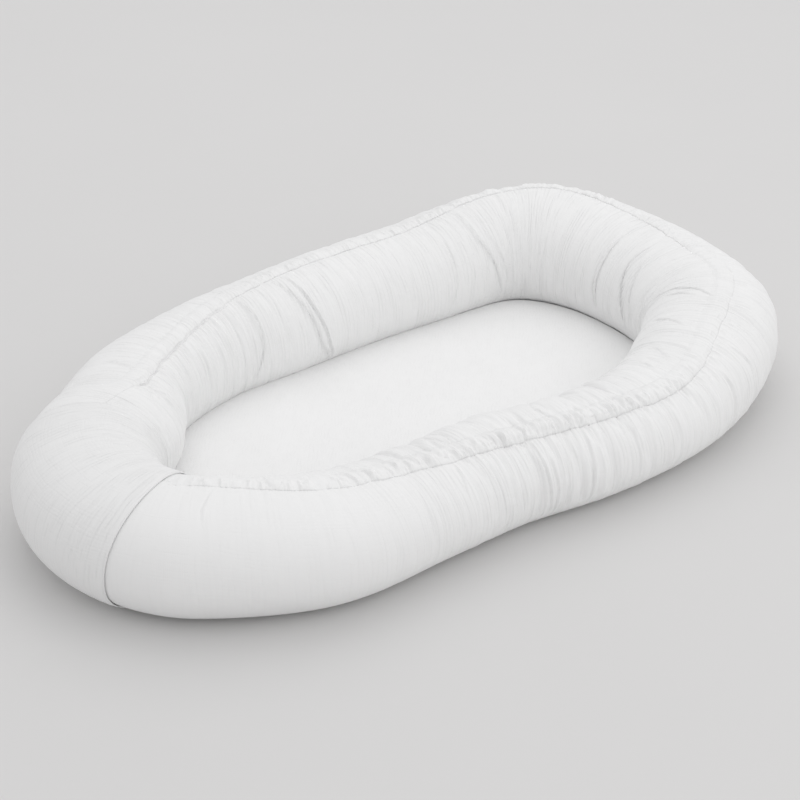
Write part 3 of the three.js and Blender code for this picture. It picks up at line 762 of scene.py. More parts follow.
def fold_into(height, strip, folds, depth_share, width_share):
    """Presses the table's folds into a strip's heights, with these shares of their depths and widths."""
    for depth, width, ridge, course in folds:
        shares, falls = np.array(course).T
        middle = np.searchsorted(strip.run, shares.mean() * ring_length)
        girths = np.interp(falls, strip.fall[middle], strip.girth[middle])
        order = np.argsort(girths)
        points = np.stack([shares * ring_length, girths], axis=1)[order]
        fade = long_fold_fade if np.ptp(girths) > long_fold else short_fold_fade
        press_crease(height, strip, points, depth * depth_share * mm, width * width_share * mm, ridge, fade)


def press_lines(height, strip, rng, strength):
    """Presses narrow creases that run down from the seam, side by side at nearly even distances."""
    span = strip.girth[:, -1].mean()
    along = strip.run[0]
    t = np.linspace(0, 1, 5)
    while along < strip.run[-1]:
        along += line_pitch * rng.uniform(0.6, 1.4)
        drift, bow = rng.normal(0, line_drift), rng.normal(0, line_bow)
        down = span * rng.uniform(0.5, 1) * t
        course = np.stack([along + drift * t + bow * np.sin(math.pi * t), down], axis=1)
        force = strength(along / ring_length) * rng.uniform(0.3, 1.3)
        press_crease(height, strip, course, line_depth * force, line_width, rng.uniform(0.2, 0.6), line_fade)


def press_dimple(height, strip):
    """Presses in the seam where the sleeve pinches it."""
    distance = np.hypot(strip.along - pinch_share * ring_length, strip.girth)
    height -= dimple_depth * np.exp(-(distance / dimple_reach)**2)


def smooth_along(height, reach):
    """Heights averaged along the ring over that reach."""
    columns = max(int(reach / (ring_length / len(height))) | 1, 3)
    kernel = np.hanning(columns + 2)[1:-1]
    kernel /= kernel.sum()
    padded = np.pad(height, ((columns // 2, columns // 2), (0, 0)), mode="edge")
    return np.stack([np.convolve(row, kernel, mode="valid") for row in padded.T], axis=1)


def cut_flat(strip, at_seam, at_wall):
    """The panel laid flat as it was cut. It is longer than its place on the ring by these two fullnesses,
    one at the seam and one on the wall."""
    wall = strip.points.shape[1] // 2
    steps = np.linalg.norm(np.diff(strip.points, axis=0), axis=2)
    free = clear_of_sleeve(strip.share[:-1, 0])
    seam_steps = steps[:, 0] * (1 + (at_seam - 1) * free)
    wall_steps = steps[:, wall] * (1 + (at_wall - 1) * free)
    turn = np.concatenate([[0], np.cumsum((wall_steps - seam_steps) / strip.girth[:-1, wall])])
    heading = (turn[1:] + turn[:-1]) / 2
    x = np.concatenate([[0], np.cumsum(seam_steps * np.cos(heading))])[:, None]
    y = np.concatenate([[0], np.cumsum(seam_steps * np.sin(heading))])[:, None]
    girth, turn = strip.girth, turn[:, None]
    return np.stack([x + girth * np.sin(turn), y - girth * np.cos(turn), 0 * girth], axis=-1)


settle_settings = {
    "quality": 4, "mass": 0.02, "tension_stiffness": 15, "compression_stiffness": 3, "shear_stiffness": 1,
    "bending_stiffness": 0.02, "tension_damping": 5, "compression_damping": 5, "shear_damping": 5,
    "bending_damping": 0.5, "air_damping": 2, "use_pressure": True, "uniform_pressure_force": 350,
}
pinned_columns = 6


def settle(strip, start, flat):
    """Lets the cloth settle: sewn down at its edges, too long along the ring, pressed out by the filling."""
    columns, rows = start.shape[:2]
    pins = clear_of_sleeve(strip.share) < 0.02
    pins[:, 0] = pins[:, -1] = True
    pins[:pinned_columns] = pins[-pinned_columns:] = True
    faces = facing(grid_faces(columns, rows), start, strip.normals)
    piece = piece_of("settling", start.reshape(-1, 3), faces)
    piece.shape_key_add(name="Basis")
    cut = piece.shape_key_add(name="flat")
    cut.data.foreach_set("co", flat.astype(np.float32).ravel())
    cut.value = 0
    group = piece.vertex_groups.new(name="pins")
    group.add(np.flatnonzero(pins.ravel()).tolist(), 1.0, "REPLACE")
    cloth = piece.modifiers.new("cloth", "CLOTH")
    cloth.collision_settings.use_collision = False
    cloth.point_cache.frame_start, cloth.point_cache.frame_end = 1, settle_frames
    settings = cloth.settings
    for key, value in settle_settings.items():
        setattr(settings, key, value)
    settings.vertex_group_mass = group.name
    settings.rest_shape_key = cut
    settings.effector_weights.gravity = 0
    for step in range(1, settle_frames + 1):
        bpy.context.scene.frame_set(step)
    made = piece.evaluated_get(bpy.context.evaluated_depsgraph_get())
    place = np.empty(start.size, np.float32)
    made.data.vertices.foreach_get("co", place)
    bpy.data.objects.remove(piece)
    bpy.context.scene.frame_set(1)
    return place.reshape(start.shape).astype(float)


# The lumps that settling starts from, the share of the folds pressed in before it, and what is kept of it:
# the even swelling over this reach comes off and the rest is made stronger
wide_lumps = 1.5 * mm
small_lumps = 0.7 * mm
settling_fold_share = 0.15
swelling_reach = 90 * mm
swelling_share = 0.8
settled_strength = 1.3


def settled_relief(line, seam, end, folds, strength, fullness, seed):
    """The relief that a panel gets by settling, on a grid of rows evenly spread from the seam to the base."""
    strip = strip_of_ring(line, seam, seam * 0 + end, settle_rows)
    rng = np.random.default_rng(seed)
    height = wide_lumps * soft_noise(strip.along / 0.09, strip.girth / 0.07, seed)
    height += small_lumps * soft_noise(strip.along / 0.03, strip.girth / 0.05, seed + 1)
    scatter_creases(height, strip, rng, settling_creases, strength)
    fold_into(height, strip, folds, settling_fold_share, 1)
    height *= clear_of_sleeve(strip.share) * (1 - np.exp(-strip.girth / seam_reach))
    start = strip.points + strip.normals * height[:, :, None]
    place = settle(strip, start, cut_flat(strip, *fullness))
    height = ((place - strip.points) * strip.normals).sum(axis=2)
    height -= swelling_share * smooth_along(height, swelling_reach)
    return height * strength(strip.share) * settled_strength


def finer(relief, strip):
    """The settled relief at the places of a finer strip."""
    columns, rows = relief.shape
    at = np.linspace(0, columns - 1, len(strip.run))
    along = np.stack([np.interp(at, np.arange(columns), row) for row in relief.T], axis=1)
    place = strip.girth[0] / strip.girth[0, -1] * (rows - 1)
    low = np.minimum(place.astype(int), rows - 2)
    return smooth_along(along[:, low] * (1 - place + low) + along[:, low + 1] * (place - low), 4 * mm)


# The relief's limits: how far it stands out and goes in, and the height over the floor at which it starts to
# grow to them, with what is left of both limits below that
highest_ridge = 3.2 * mm
deepest_fold = 6 * mm
wall_foot = 20 * mm
wall_rise = 24 * mm
foot_fold_share = 0.06
foot_ridge_share = 0.1

# The shares of the table's folds that are pressed in after settling
fine_depth_share = 0.7
fine_width_share = 0.42

# Beside the seam: the cloth's swelling with its reach and its start, the seam's depth, and the puckers
seam_swell = 1.4 * mm
seam_swell_reach = 30 * mm
seam_swell_start = 6 * mm
seam_depth = 0.35 * mm
seam_rounding = 2.2 * mm
seam_reach = 3 * mm
pucker_pitch = 3.6 * mm
pucker_height = 0.25 * mm
pucker_wander = 20 * mm

# Under the sleeve only a part of the valleys is left, and the cloth is pressed in
covered_fold_share = 0.6
covered_press = 0.3 * mm


def skin_heights(strip, relief, folds, strength, lines, seed):
    """Heights of a panel's cloth over the plain ring: the relief that it settled to, then sharper folds and
    fine gathers."""
    rng = np.random.default_rng(seed + 100)
    fine = np.zeros(strip.girth.shape)
    press_lines(fine, strip, rng, lines)
    scatter_creases(fine, strip, rng, panel_creases, strength)
    fold_into(fine, strip, folds, fine_depth_share, fine_width_share)
    press_dimple(fine, strip)
    height = finer(relief, strip) + fine
    out, down = highest_ridge * np.tanh(height / highest_ridge), deepest_fold * np.tanh(height / deepest_fold)
    height = np.where(height > 0, out, down)
    up_wall = (strip.points[:, :, 2] - wall_foot) / wall_rise
    lowest = -deepest_fold * np.clip(up_wall, foot_fold_share, 1)
    height = np.clip(height, lowest, highest_ridge * np.clip(up_wall, foot_ridge_share, 1))
    swell = np.exp(-strip.girth / seam_swell_reach) - np.exp(-strip.girth / seam_swell_start)
    height = (height + seam_swell * swell) * (1 - np.exp(-(strip.girth / seam_rounding)**1.3)) - seam_depth
    turns = strip.along / pucker_pitch + 1.5 * soft_noise(strip.along / pucker_wander, 0 * strip.along, 71)
    puckers = pucker_height * np.sin(2 * math.pi * turns) * casing_fullness(strip.share)
    height += puckers * np.exp(-strip.girth / seam_reach)
    free = clear_of_sleeve(strip.share)
    covered = 1 - free
    return height * free + np.minimum(height, 0) * covered_fold_share * covered - covered_press * covered


# How far the seam wanders, in long waves and in short ones, and how far away from it the cloth goes with it
long_wander = 0.9 * mm
short_wander = 0.5 * mm
wander_reach = 12 * mm


def sway(points, along, distance, towards_well):
    """Moves points sideways with the seam, which wanders by about a millimetre."""
    across = np.gradient(points, axis=1)
    across /= np.linalg.norm(across, axis=2)[:, :, None]
    wander = long_wander * soft_noise(along / (11 * mm), 0 * along, 61)
    wander += short_wander * soft_noise(along / (4 * mm), 0 * along, 62)
    weight = towards_well * clear_of_sleeve(along / ring_length) * np.exp(-distance / wander_reach)
    return points + across * (wander * weight)[:, :, None]


def cloth_place(strip):
    """Each point's place on the flat cloth."""
    return np.stack([strip.along, strip.girth], axis=-1)


def from_ends(strip):
    """Distance to the nearer end of a strip."""
    return np.minimum(strip.along - strip.run[0], strip.run[-1] - strip.along)


def rounded_off(strip, radius, depth):
    """How far the roll is rounded off near its two ends, which meet under the sleeve."""
    inside = np.clip(1 - from_ends(strip) / radius, 0, 1)
    return depth * (1 - np.sqrt(1 - inside**2 * 0.98))


skin_end_radius = 4 * mm
skin_end_depth = 2.5 * mm
skin_clearance = 0.4 * mm


def ring_panel(name, end, folds, strength, lines, fullness, seed, node):
    """One of the ring's two panels, from the top seam down to the lower seam at the section angle end."""
    start, stop = join_gap / 2 + panel_thickness, ring_length - join_gap / 2 - panel_thickness
    coarse = part_of(ring, start, stop, settle_columns)
    relief = settled_relief(coarse, seam_angle(coarse), end, folds, strength, fullness, seed)
    line = part_of(ring, start, stop, ring_columns)
    seam = seam_angle(line)
    strip = strip_of_ring(line, seam, seam * 0 + end, panel_rows, crowd=panel_crowd)
    height = skin_heights(strip, relief, folds, strength, lines, seed)
    if name == "inner_cloth":
        beside = (casing_middle(line) - seam) / degrees_of(line, 1) + casing_width / 2
        from_casing = strip.girth - beside[:, None] - groove_stand
        height -= seam_groove(strip.share) * np.exp(-(from_casing / groove_width)**2)
    height = height - rounded_off(strip, skin_end_radius, skin_end_depth)
    points = sway(strip.points, strip.along, strip.girth, np.sign(end)) + strip.normals * height[:, :, None]
    points[:, :, 2] = np.maximum(points[:, :, 2], skin_clearance)
    piece = grid_piece(name, points, strip.normals, cloth_place(strip), panel_thickness)
    dress(piece, "root", muslin, node)
    return strip, height


stuffing_gap = 2 * mm
stuffing_inset = 8 * mm
stuffing_lumps = 2 * mm
stuffing_end_radius = 30 * mm
stuffing_end_depth = 14 * mm
stuffing_clearance = 4 * mm


def ring_stuffing():
    """The filling: one long roll, a little under the cloth."""
    gap = join_gap / 2
    line = part_of(ring, gap + stuffing_gap, ring_length - gap - stuffing_gap, stuffing_columns)
    seam = 90 - line.lean
    strip = strip_of_ring(line, seam, seam + 360, stuffing_rows + 1, inset=stuffing_inset)
    height = stuffing_lumps * soft_noise(strip.along / 0.05, strip.girth / 0.05, 31)
    height -= rounded_off(strip, stuffing_end_radius, stuffing_end_depth)
    points = (strip.points + strip.normals * height[:, :, None])[:, :-1]
    points[:, :, 2] = np.maximum(points[:, :, 2], stuffing_clearance)
    faces = tube_faces(*points.shape[:2])
    piece = piece_of("stuffing", points.reshape(-1, 3), faces, cloth_place(strip)[:, :-1].reshape(-1, 2))
    dress(piece, "root", fibre, "bolster_filling")


def casing_middle(line):
    """The casing's middle lies inwards of the seam on the near side and outwards of it on the far side."""
    side = np.clip(-casing_side_share * line.out_y - casing_middle_share, -1, 1)
    return seam_angle(line) + casing_lean * side


def degrees_of(line, length):
    """The section angle that a length takes up on the ring's top."""
    return np.degrees(2 * length / line.height)


def skin_under(strip, angles, skins):
    """Height of the two panels' cloth at a strip's places on the ring."""
    (outer, outer_height), (inner, inner_height) = skins
    fall = np.concatenate([-outer.fall[:, :0:-1], inner.fall], axis=1)
    height = np.concatenate([outer_height[:, :0:-1], inner_height], axis=1)
    column = np.clip(np.searchsorted(outer.run, strip.run), 1, len(outer.run) - 1)
    before = (outer.run[column] - strip.run) / (outer.run[1] - outer.run[0])
    made = np.empty(angles.shape)
    for k, (i, t) in enumerate(zip(column, np.clip(before, 0, 1))):
        made[k] = np.interp(angles[k], fall[i], height[i] * (1 - t) + height[i - 1] * t)
    return made


elastic_half = 4 * mm
elastic_thickness = 0.8 * mm
elastic_bridge = 12 * mm
elastic_stand = 0.3 * mm
elastic_rib = 0.1 * mm
elastic_end_gap = 9 * mm


def elastic_bed(line, skins):
    """Height of the elastic's underside over the plain ring: it lies on the panels and bridges creases."""
    middle = casing_middle(line)
    strip = strip_of_ring(line, middle - 1, middle + 1, 3)
    across = degrees_of(line, elastic_half)[:, None] * np.linspace(-1, 1, 5)
    top = skin_under(strip, (middle - seam_angle(line))[:, None] + across, skins).max(axis=1)
    return smooth_along(top[:, None], elastic_bridge)[:, 0] + elastic_stand


# The casing's fullness and its folds; it lies on the panels at its hems and over the elastic in its middle
casing_fullness_height = 4.4 * mm
casing_fold_depth = 4.0 * mm
casing_fold_ridge = 1.4 * mm
casing_over_elastic = 0.5 * mm
casing_hem_press = 0.2 * mm
casing_band_press = 0.15 * mm
casing_end_reach = 8 * mm
casing_drift = 0.8 * mm
casing_under = 1.5 * mm

# The deep pleats of the casing that the photo shows, by share along the ring, and the size of each
casing_pleats = [
    0.040, 0.054, 0.060, 0.098, 0.106, 0.116, 0.138, 0.165, 0.193, 0.208, 0.235, 0.249, 0.259, 0.278, 0.303,
]
pleat_depth = 4.4 * mm
pleat_width = 1.7 * mm
pleat_ridge = 0.8


def casing(skins):
    """The gathered channel on the top seam: steep at the seam and fading away from it, on the panels."""
    line = part_of(ring, run_at(casing_near_angle), run_at(foot_from_angle), casing_columns)
    middle, half = casing_middle(line), degrees_of(line, casing_width / 2)
    strip = strip_of_ring(line, middle - half, middle + half, casing_rows)
    share = strip.girth / strip.girth[:, -1:]
    from_seam = (middle - half - seam_angle(line))[:, None] + strip.fall
    side = np.clip((middle - seam_angle(line)) / casing_lean, -1, 1)[:, None]
    peak = 0.5 - 0.2 * side
    rise, drop = np.clip(share / peak, 0, 1), np.clip((share - peak) / (1 - peak), 0, 1)
    steep, gentle = 0.9 - 0.3 * side, 0.9 + 0.3 * side
    bulge = np.where(share < peak, np.sin(math.pi / 2 * rise)**steep, np.cos(math.pi / 2 * drop)**gentle)
    full = casing_fullness(strip.share)
    rng = np.random.default_rng(11)
    folds = np.zeros(share.shape)
    scatter_creases(folds, strip, rng, casing_creases)
    for at in casing_pleats:
        run = at * ring_length
        course = [(run + rng.uniform(-3, 3) * mm, 0), (run, 9 * mm), (run - rng.uniform(1, 5) * mm, 20 * mm)]
        press_crease(folds, strip, course, pleat_depth, pleat_width, pleat_ridge)
    waves = 1 + 0.45 * soft_noise(strip.along / 0.009, share * 1.5, 12)
    pressed = np.clip(folds, -casing_fold_depth, casing_fold_ridge)
    lift = bulge * (full * casing_fullness_height * waves + np.sqrt(full) * pressed)
    lift -= casing_hem_press * (1 - np.sin(math.pi * share))
    ends = np.clip(from_ends(strip) / casing_end_reach, 0, 1)
    beneath = skin_under(strip, from_seam, skins)
    over_elastic = (elastic_bed(line, skins) + elastic_thickness + casing_over_elastic)[:, None]
    band = np.cos(math.pi / 2 * np.abs(2 * share - 1)**2)**2
    bridge = beneath + (over_elastic - beneath) * band * ends - casing_band_press * (1 - band)
    lift = np.maximum(beneath + lift * ends, bridge)
    drift = casing_drift * bulge * soft_noise(strip.along / 0.014, share * 0 + 0.5, 13)
    distance = np.abs(from_seam) / degrees_of(line, 1)[:, None]
    plain = sway(strip.points, strip.along, distance, 1)
    top = plain + strip.normals * lift[:, :, None]
    side_way = np.gradient(strip.points, axis=1)
    top += side_way / np.linalg.norm(side_way, axis=2)[:, :, None] * drift[:, :, None]
    low = plain + strip.normals * (np.minimum(beneath, lift) - casing_under)[:, :, None]
    flat, normals = cloth_place(strip), strip.normals
    points, place, normals = (
        np.concatenate([over, beneath_it[:, ::-1][:, 2:-2:3]], axis=1)
        for over, beneath_it in ((top, low), (flat, flat), (normals, -normals))
    )
    faces = facing(grid_faces(*points.shape[:2], closed_rows=True), points, normals, probe=3)
    piece = piece_of("gathered_casing", points.reshape(-1, 3), faces, place.reshape(-1, 2))
    dress(piece, "root", muslin, "top_casing")


def elastic(skins):
    """The elastic in the casing: a ribbed band that lies on the panels."""
    start, end = run_at(casing_near_angle) + elastic_end_gap, run_at(foot_from_angle) - elastic_end_gap
    line = part_of(ring, start, end, elastic_columns)
    middle, half = casing_middle(line), degrees_of(line, elastic_half)
    strip = strip_of_ring(line, middle - half, middle + half, elastic_rows)
    rib = elastic_rib * np.cos(np.arange(elastic_rows) * math.pi)
    height = (elastic_bed(line, skins) + elastic_thickness)[:, None] + rib[None, :]
    points = sway(strip.points, strip.along, 0 * height, 1) + strip.normals * height[:, :, None]
    piece = grid_piece("elastic_band", points, strip.normals, cloth_place(strip), elastic_thickness)
    dress(piece, "root", webbing, "casing_elastic")


# The sleeve's relief, and its two hems: how far each is pressed in, where it stands loose at the far one, the
# width over which it is pressed, and the stitch line beside it
sleeve_thickness = 1 * mm
sleeve_lumps = 1.2 * mm
sleeve_lowest = -0.4 * mm
sleeve_clearance = 0.2 * mm
near_hem_press = 0.9 * mm
far_hem_press = 1.2 * mm
far_hem_loose = 2.3 * mm
loose_at_angle = 72
loose_reach_angle = 24
hem_reach = 7 * mm
hem_calm = 14 * mm
stitch_depth = 0.25 * mm
stitch_place = 11 * mm
stitch_width = 1.2 * mm


def sleeve():
    """The wide sleeve round the foot bend: hemmed at both ends, with creases round the ring. Both ends are
    cut at a slant, and on the outer side the sleeve is shorter."""
    angles = np.linspace(sleeve_to_angle, sleeve_from_angle, sleeve_columns)
    line = line_of(np.array([foot_control(a) for a in angles[::-1]]))
    line.run += run_at(sleeve_from_angle)
    under = np.full(len(line.x), -90.0)
    strip = strip_of_ring(line, under, under + 360, sleeve_rows + 1, inset=-sleeve_stand)
    rng = np.random.default_rng(21)
    height = sleeve_lumps * soft_noise(strip.along / 0.06, strip.girth / 0.08, 22)
    scatter_creases(height, strip, rng, sleeve_creases)
    height = np.maximum(height, sleeve_lowest)
    from_far, from_near = strip.along - strip.run[0], strip.run[-1] - strip.along
    section = strip.fall - 90
    loose = np.exp(-((section - loose_at_angle) / loose_reach_angle)**2)
    for edge, press in ((from_near, near_hem_press), (from_far, far_hem_press - far_hem_loose * loose)):
        height = height * np.clip(edge / hem_calm, 0.1, 1)
        stitches = stitch_depth * np.exp(-((edge - stitch_place) / stitch_width)**2)
        height -= press * np.exp(-edge / hem_reach) + stitches
    points = strip.points + strip.normals * height[:, :, None]
    points[:, :, 2] = np.maximum(points[:, :, 2], sleeve_clearance)
    slant = np.cos(np.radians(section - sleeve_slant_towards))
    near_end = sleeve_near_end + sleeve_slant * slant
    outer = smooth_step((section + 90) / 50) * smooth_step((108 - section) / 45)
    along = from_far / strip.length
    turn = np.radians((near_end - sleeve_to_angle) * along + sleeve_far_slant * outer * (1 - along))
    x, y = points[:, :, 0] - foot_centre[0], points[:, :, 1] - foot_centre[1]
    points[:, :, 0] = foot_centre[0] + x * np.cos(turn) - y * np.sin(turn)
    points[:, :, 1] = foot_centre[1] + x * np.sin(turn) + y * np.cos(turn)
    piece = grid_piece(
        "sleeve_cloth", points[:, :-1], strip.normals[:, :-1], cloth_place(strip)[:, :-1], sleeve_thickness,
        closed_rows=True,
    )
    dress(piece, "sleeve", sleeve_muslin, "foot_sleeve")


# Mattress


def well_edge(extra, count=well_steps):
    """The edge of a sheet in the well, that far inside the ring's centre line beyond the well's own share."""
    line = part_of(ring, 0, ring_length, count + 1)
    reach = well_reach_share * line.width + extra
    return np.stack([line.x - line.out_x * reach, line.y - line.out_y * reach], axis=1)[:-1]


def across_well(edge, columns, rows):
    """A grid over the well: columns from the foot to the head, rows from the near edge to the far one, both
    closer together at the edges. With it comes each point's distance from the edge."""
    edge = np.roll(edge, -edge[:, 0].argmin(), axis=0)
    head = edge[:, 0].argmax()
    near, far = edge[:head + 1], np.concatenate([edge[head:], edge[:1]])[::-1]
    closer = (1 - np.cos(np.linspace(0, math.pi, columns))) / 2
    x = edge[0, 0] + (edge[head, 0] - edge[0, 0]) * closer
    low = np.interp(x, np.maximum.accumulate(near[:, 0]), near[:, 1])
    high = np.interp(x, np.maximum.accumulate(far[:, 0]), far[:, 1])
    share = (1 - np.cos(np.linspace(0, math.pi, rows))) / 2
    y = low[:, None] + (high - low)[:, None] * share
    flat = np.stack([x[:, None] + 0 * y, y], axis=-1)
    start, step = edge, np.roll(edge, -1, axis=0) - edge
    offset = flat.reshape(-1, 1, 2) - start
    t = np.clip((offset * step).sum(axis=2) / (step**2).sum(axis=1), 0, 1)
    distance = np.linalg.norm(offset - step * t[:, :, None], axis=2).min(axis=1)
    return flat, distance.reshape(y.shape)


# Heights of the mattress: its seam, its top beside the edge, its crown, and its bottom
pad_seam = 15.9 * mm
pad_top = 21.2 * mm
pad_crown = 5 * mm
pad_crown_reach = 40 * mm
pad_rounding = 1.2 * mm
cover_bottom = 10.4 * mm
cover_thickness = 0.8 * mm
cover_sink = 0.6 * mm
foam_gap = 1.2 * mm
foam_share = 0.985

# How far the two halves of the cover reach out past the foam, towards the panels
cover_top_reach = 4.6 * mm
cover_bottom_reach = 1.5 * mm

# The mattress's lumps: broad, middling and small, and the calm stretch along its edge
broad_lumps = 0.7 * mm
middling_lumps = 0.28 * mm
crinkle_lumps = 0.16 * mm
lump_calm = 25 * mm

# The foam's section: shares of the way out from its middle, and of its height
foam_section_shares = [
    (0.0, 1.0), (0.3, 1.0), (0.6, 1.0), (0.85, 1.0), (0.97, 0.96), (0.995, 0.7), (1.0, 0.4), (1.0, 0.2),
    (0.995, 0.05), (0.97, 0.0), (0.6, 0.0), (0.0, 0.0),
]


def edge_roll(distance):
    """0 at the cover's seam and 1 from the end of its rounded edge on."""
    inside = np.clip(distance / pad_rounding, 0, 1)
    return np.sqrt(1 - (1 - inside)**2)


def cover_half(name, z, flat, up, material, node):
    """One half of the mattress's cover, which faces up (1) or down (-1)."""
    points = np.concatenate([flat, z[:, :, None]], axis=2)
    normals = np.zeros(points.shape)
    normals[:, :, 2] = up
    piece = grid_piece(name, points, normals, flat, cover_thickness)
    dress(piece, "root", material, node)


def mattress_top():
    """The mattress's cover: slightly crowned, rolling over at its edge into the seam."""
    flat, distance = across_well(well_edge(mattress_side_gap - cover_top_reach), 190, 76)
    x, y = flat[:, :, 0], flat[:, :, 1]
    crown = pad_crown * (1 - np.exp(-distance / pad_crown_reach))
    a, b = (x + y) / 0.05, (x - y) / 0.03
    lumps = broad_lumps * soft_noise(x / 0.11, y / 0.08, 41) + middling_lumps * soft_noise(a, b, 42)
    lumps += crinkle_lumps * soft_noise(b * 2.1, a * 1.2, 43)
    lumps *= np.clip(distance / lump_calm, 0, 1)
    z = pad_seam + (pad_top - pad_seam) * edge_roll(distance) + crown + lumps - cover_sink
    cover_half("mattress_cloth", z, flat, 1, mattress_muslin, "mattress_cover_top")


def mattress_underside():
    """The lower half of the cover, flat on the base cloth."""
    flat, distance = across_well(well_edge(mattress_side_gap - cover_bottom_reach), 120, 40)
    z = pad_seam - (pad_seam - cover_bottom) * edge_roll(distance)
    cover_half("mattress_underside", z, flat, -1, lining, "mattress_cover_bottom")


def mattress_pad():
    """The foam: a closed slab with rounded edges, inside the cover."""
    edge = well_edge(mattress_side_gap, well_steps // 2)
    centre = edge.mean(axis=0)
    loops = []
    for share, height in foam_section_shares:
        flat = centre + (edge - centre) * share * foam_share
        top = pad_top - foam_gap + (pad_crown - cover_sink) * (1 - share**2)
        z = cover_bottom + foam_gap + (top - cover_bottom - foam_gap) * height
        loops.append(np.column_stack([flat, np.full(len(flat), z)]))
    points = np.stack(loops, axis=1)
    faces = grid_faces(*points.shape[:2], closed_columns=True)
    piece = piece_of("mattress_pad", points.reshape(-1, 3), faces, points[:, :, :2].reshape(-1, 2))
    dress(piece, "root", foam, "mattress_foam")


# Underside

slot_length = 0.306
slot_width = 12 * mm
base_lumps = 0.5 * mm


def underside_of(line, rows):
    """The strip under the ring, between its two lower seams."""
    start = np.full(len(line.x), 180.0 + lower_seam_angle)
    return strip_of_ring(line, start, 540.0 - start, rows)


def base_cloth():
    """The base cloth: raised in the well, slotted for the zip, and flat under the ring except at the bend."""
    stations = np.linspace(0, ring_length, well_steps + 1)
    bend_from, bend_to = run_at(foot_from_angle), run_at(foot_to_angle)
    for edge in (bend_from, bend_to):
        stations[np.abs(stations - edge).argmin()] = edge
    line = stations_of(ring, stations)
    reach = well_reach_share * line.width
    well = np.stack([line.x - line.out_x * reach, line.y - line.out_y * reach], axis=1)
    slot_corner = np.array([slot_length / 2, slot_width / 2])
    slot = np.clip(well, -slot_corner, slot_corner)
    shares = np.linspace(0, 1, base_rows)
    inner = slot[:, None] + (well - slot)[:, None] * shares[None, :, None]
    lumps = base_lumps * soft_noise(inner[:, :, 0] / 0.07, inner[:, :, 1] / 0.05, 51)
    lumps *= np.sin(shares * math.pi)
    inner = np.concatenate([inner, (well_rise + lumps)[:, :, None]], axis=2)
    band = underside_of(line, band_rows)
    points = np.concatenate([inner, band.points], axis=1)[:-1]
    columns, rows = points.shape[:2]
    faces = grid_faces(columns, rows, closed_columns=True)
    run = stations[faces[:, 0] // rows]
    under = faces[:, 0] % rows >= len(shares) - 1
    bend = (run < bend_to - 0.1 * mm) | (run > bend_from - 0.1 * mm)
    faces = faces[~(under & bend)]
    flat = points.reshape(-1, 3)
    a, b, c = (flat[faces[5, k]] for k in range(3))
    if np.cross(b - a, c - a)[2] > 0:
        faces = faces[:, ::-1]
    piece = piece_of("base_cloth", flat, faces, flat[:, :2])
    thicken(piece, panel_thickness)
    dress(piece, "root", lining, "base_panel")


def underside_cloth(name, start, end, node):
    """A piece of the ring's underside at the foot bend, between two distances along the ring."""
    strip = underside_of(part_of(ring, start, end, 40), 16)
    piece = grid_piece(name, strip.points, strip.normals, cloth_place(strip), panel_thickness)
    dress(piece, "root", lining, node)


end_cloth_inset = panel_thickness + 2.4 * mm
end_puckers = 24
end_pucker_depth = 0.5 * mm
end_dome = 0.6 * mm


def end_cloth(name, run, side, node):
    """A round end of the roll, puckered where it is gathered into the seam."""
    line = part_of(ring, run, run, 1)
    angles = np.linspace(0, 360, 4 * end_puckers, endpoint=False)[None, :]
    rim = section_points(line, angles, inset=end_cloth_inset)[0]
    middle = rim.mean(axis=0)
    along = np.array([-line.out_y[0], line.out_x[0], 0]) * side
    rings = []
    for share in np.linspace(0.02, 1, 14):
        pucker = end_pucker_depth * share**3 * np.cos(np.radians(angles[0]) * end_puckers)
        dome = -end_dome * share**2
        rings.append(middle + (rim - middle) * share + along * (pucker * 0.3 + dome)[:, None])
    points = np.stack(rings, axis=1)
    place = np.stack([points[:, :, 2], np.linalg.norm(points[:, :, :2] - middle[:2], axis=2)], axis=-1)
    normals = np.broadcast_to(along, points.shape)
    piece = grid_piece(name, points, normals, place, panel_thickness * 0.6, closed_columns=True)
    dress(piece, "root", lining, node)


# Zip

tape_rib_pitch = 1.3 * mm
tape_rib = 0.06 * mm
coil_pitch = 1.5 * mm
coil_wire_radius = 0.32 * mm
coil_steps = 10
wire_sides = 6


def box_of(node):
    """The two corners of a node's box."""
    low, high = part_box(node)
    return np.array(low), np.array(high)


def zip_tape(name, node):
    """A ribbed tape of the zip."""
    low, high = box_of(node)
    x, y = np.meshgrid(np.linspace(low[0], high[0], 200), np.linspace(low[1], high[1], 10), indexing="ij")
    z = low[2] + tape_rib * np.sin(y / tape_rib_pitch * 2 * math.pi)
    points = np.stack([x, y, z], axis=-1)
    down = np.broadcast_to([0.0, 0, -1], points.shape)
    piece = grid_piece(name, points, down, points[:, :, :2], high[2] - low[2])
    dress(piece, "root", tape, node)


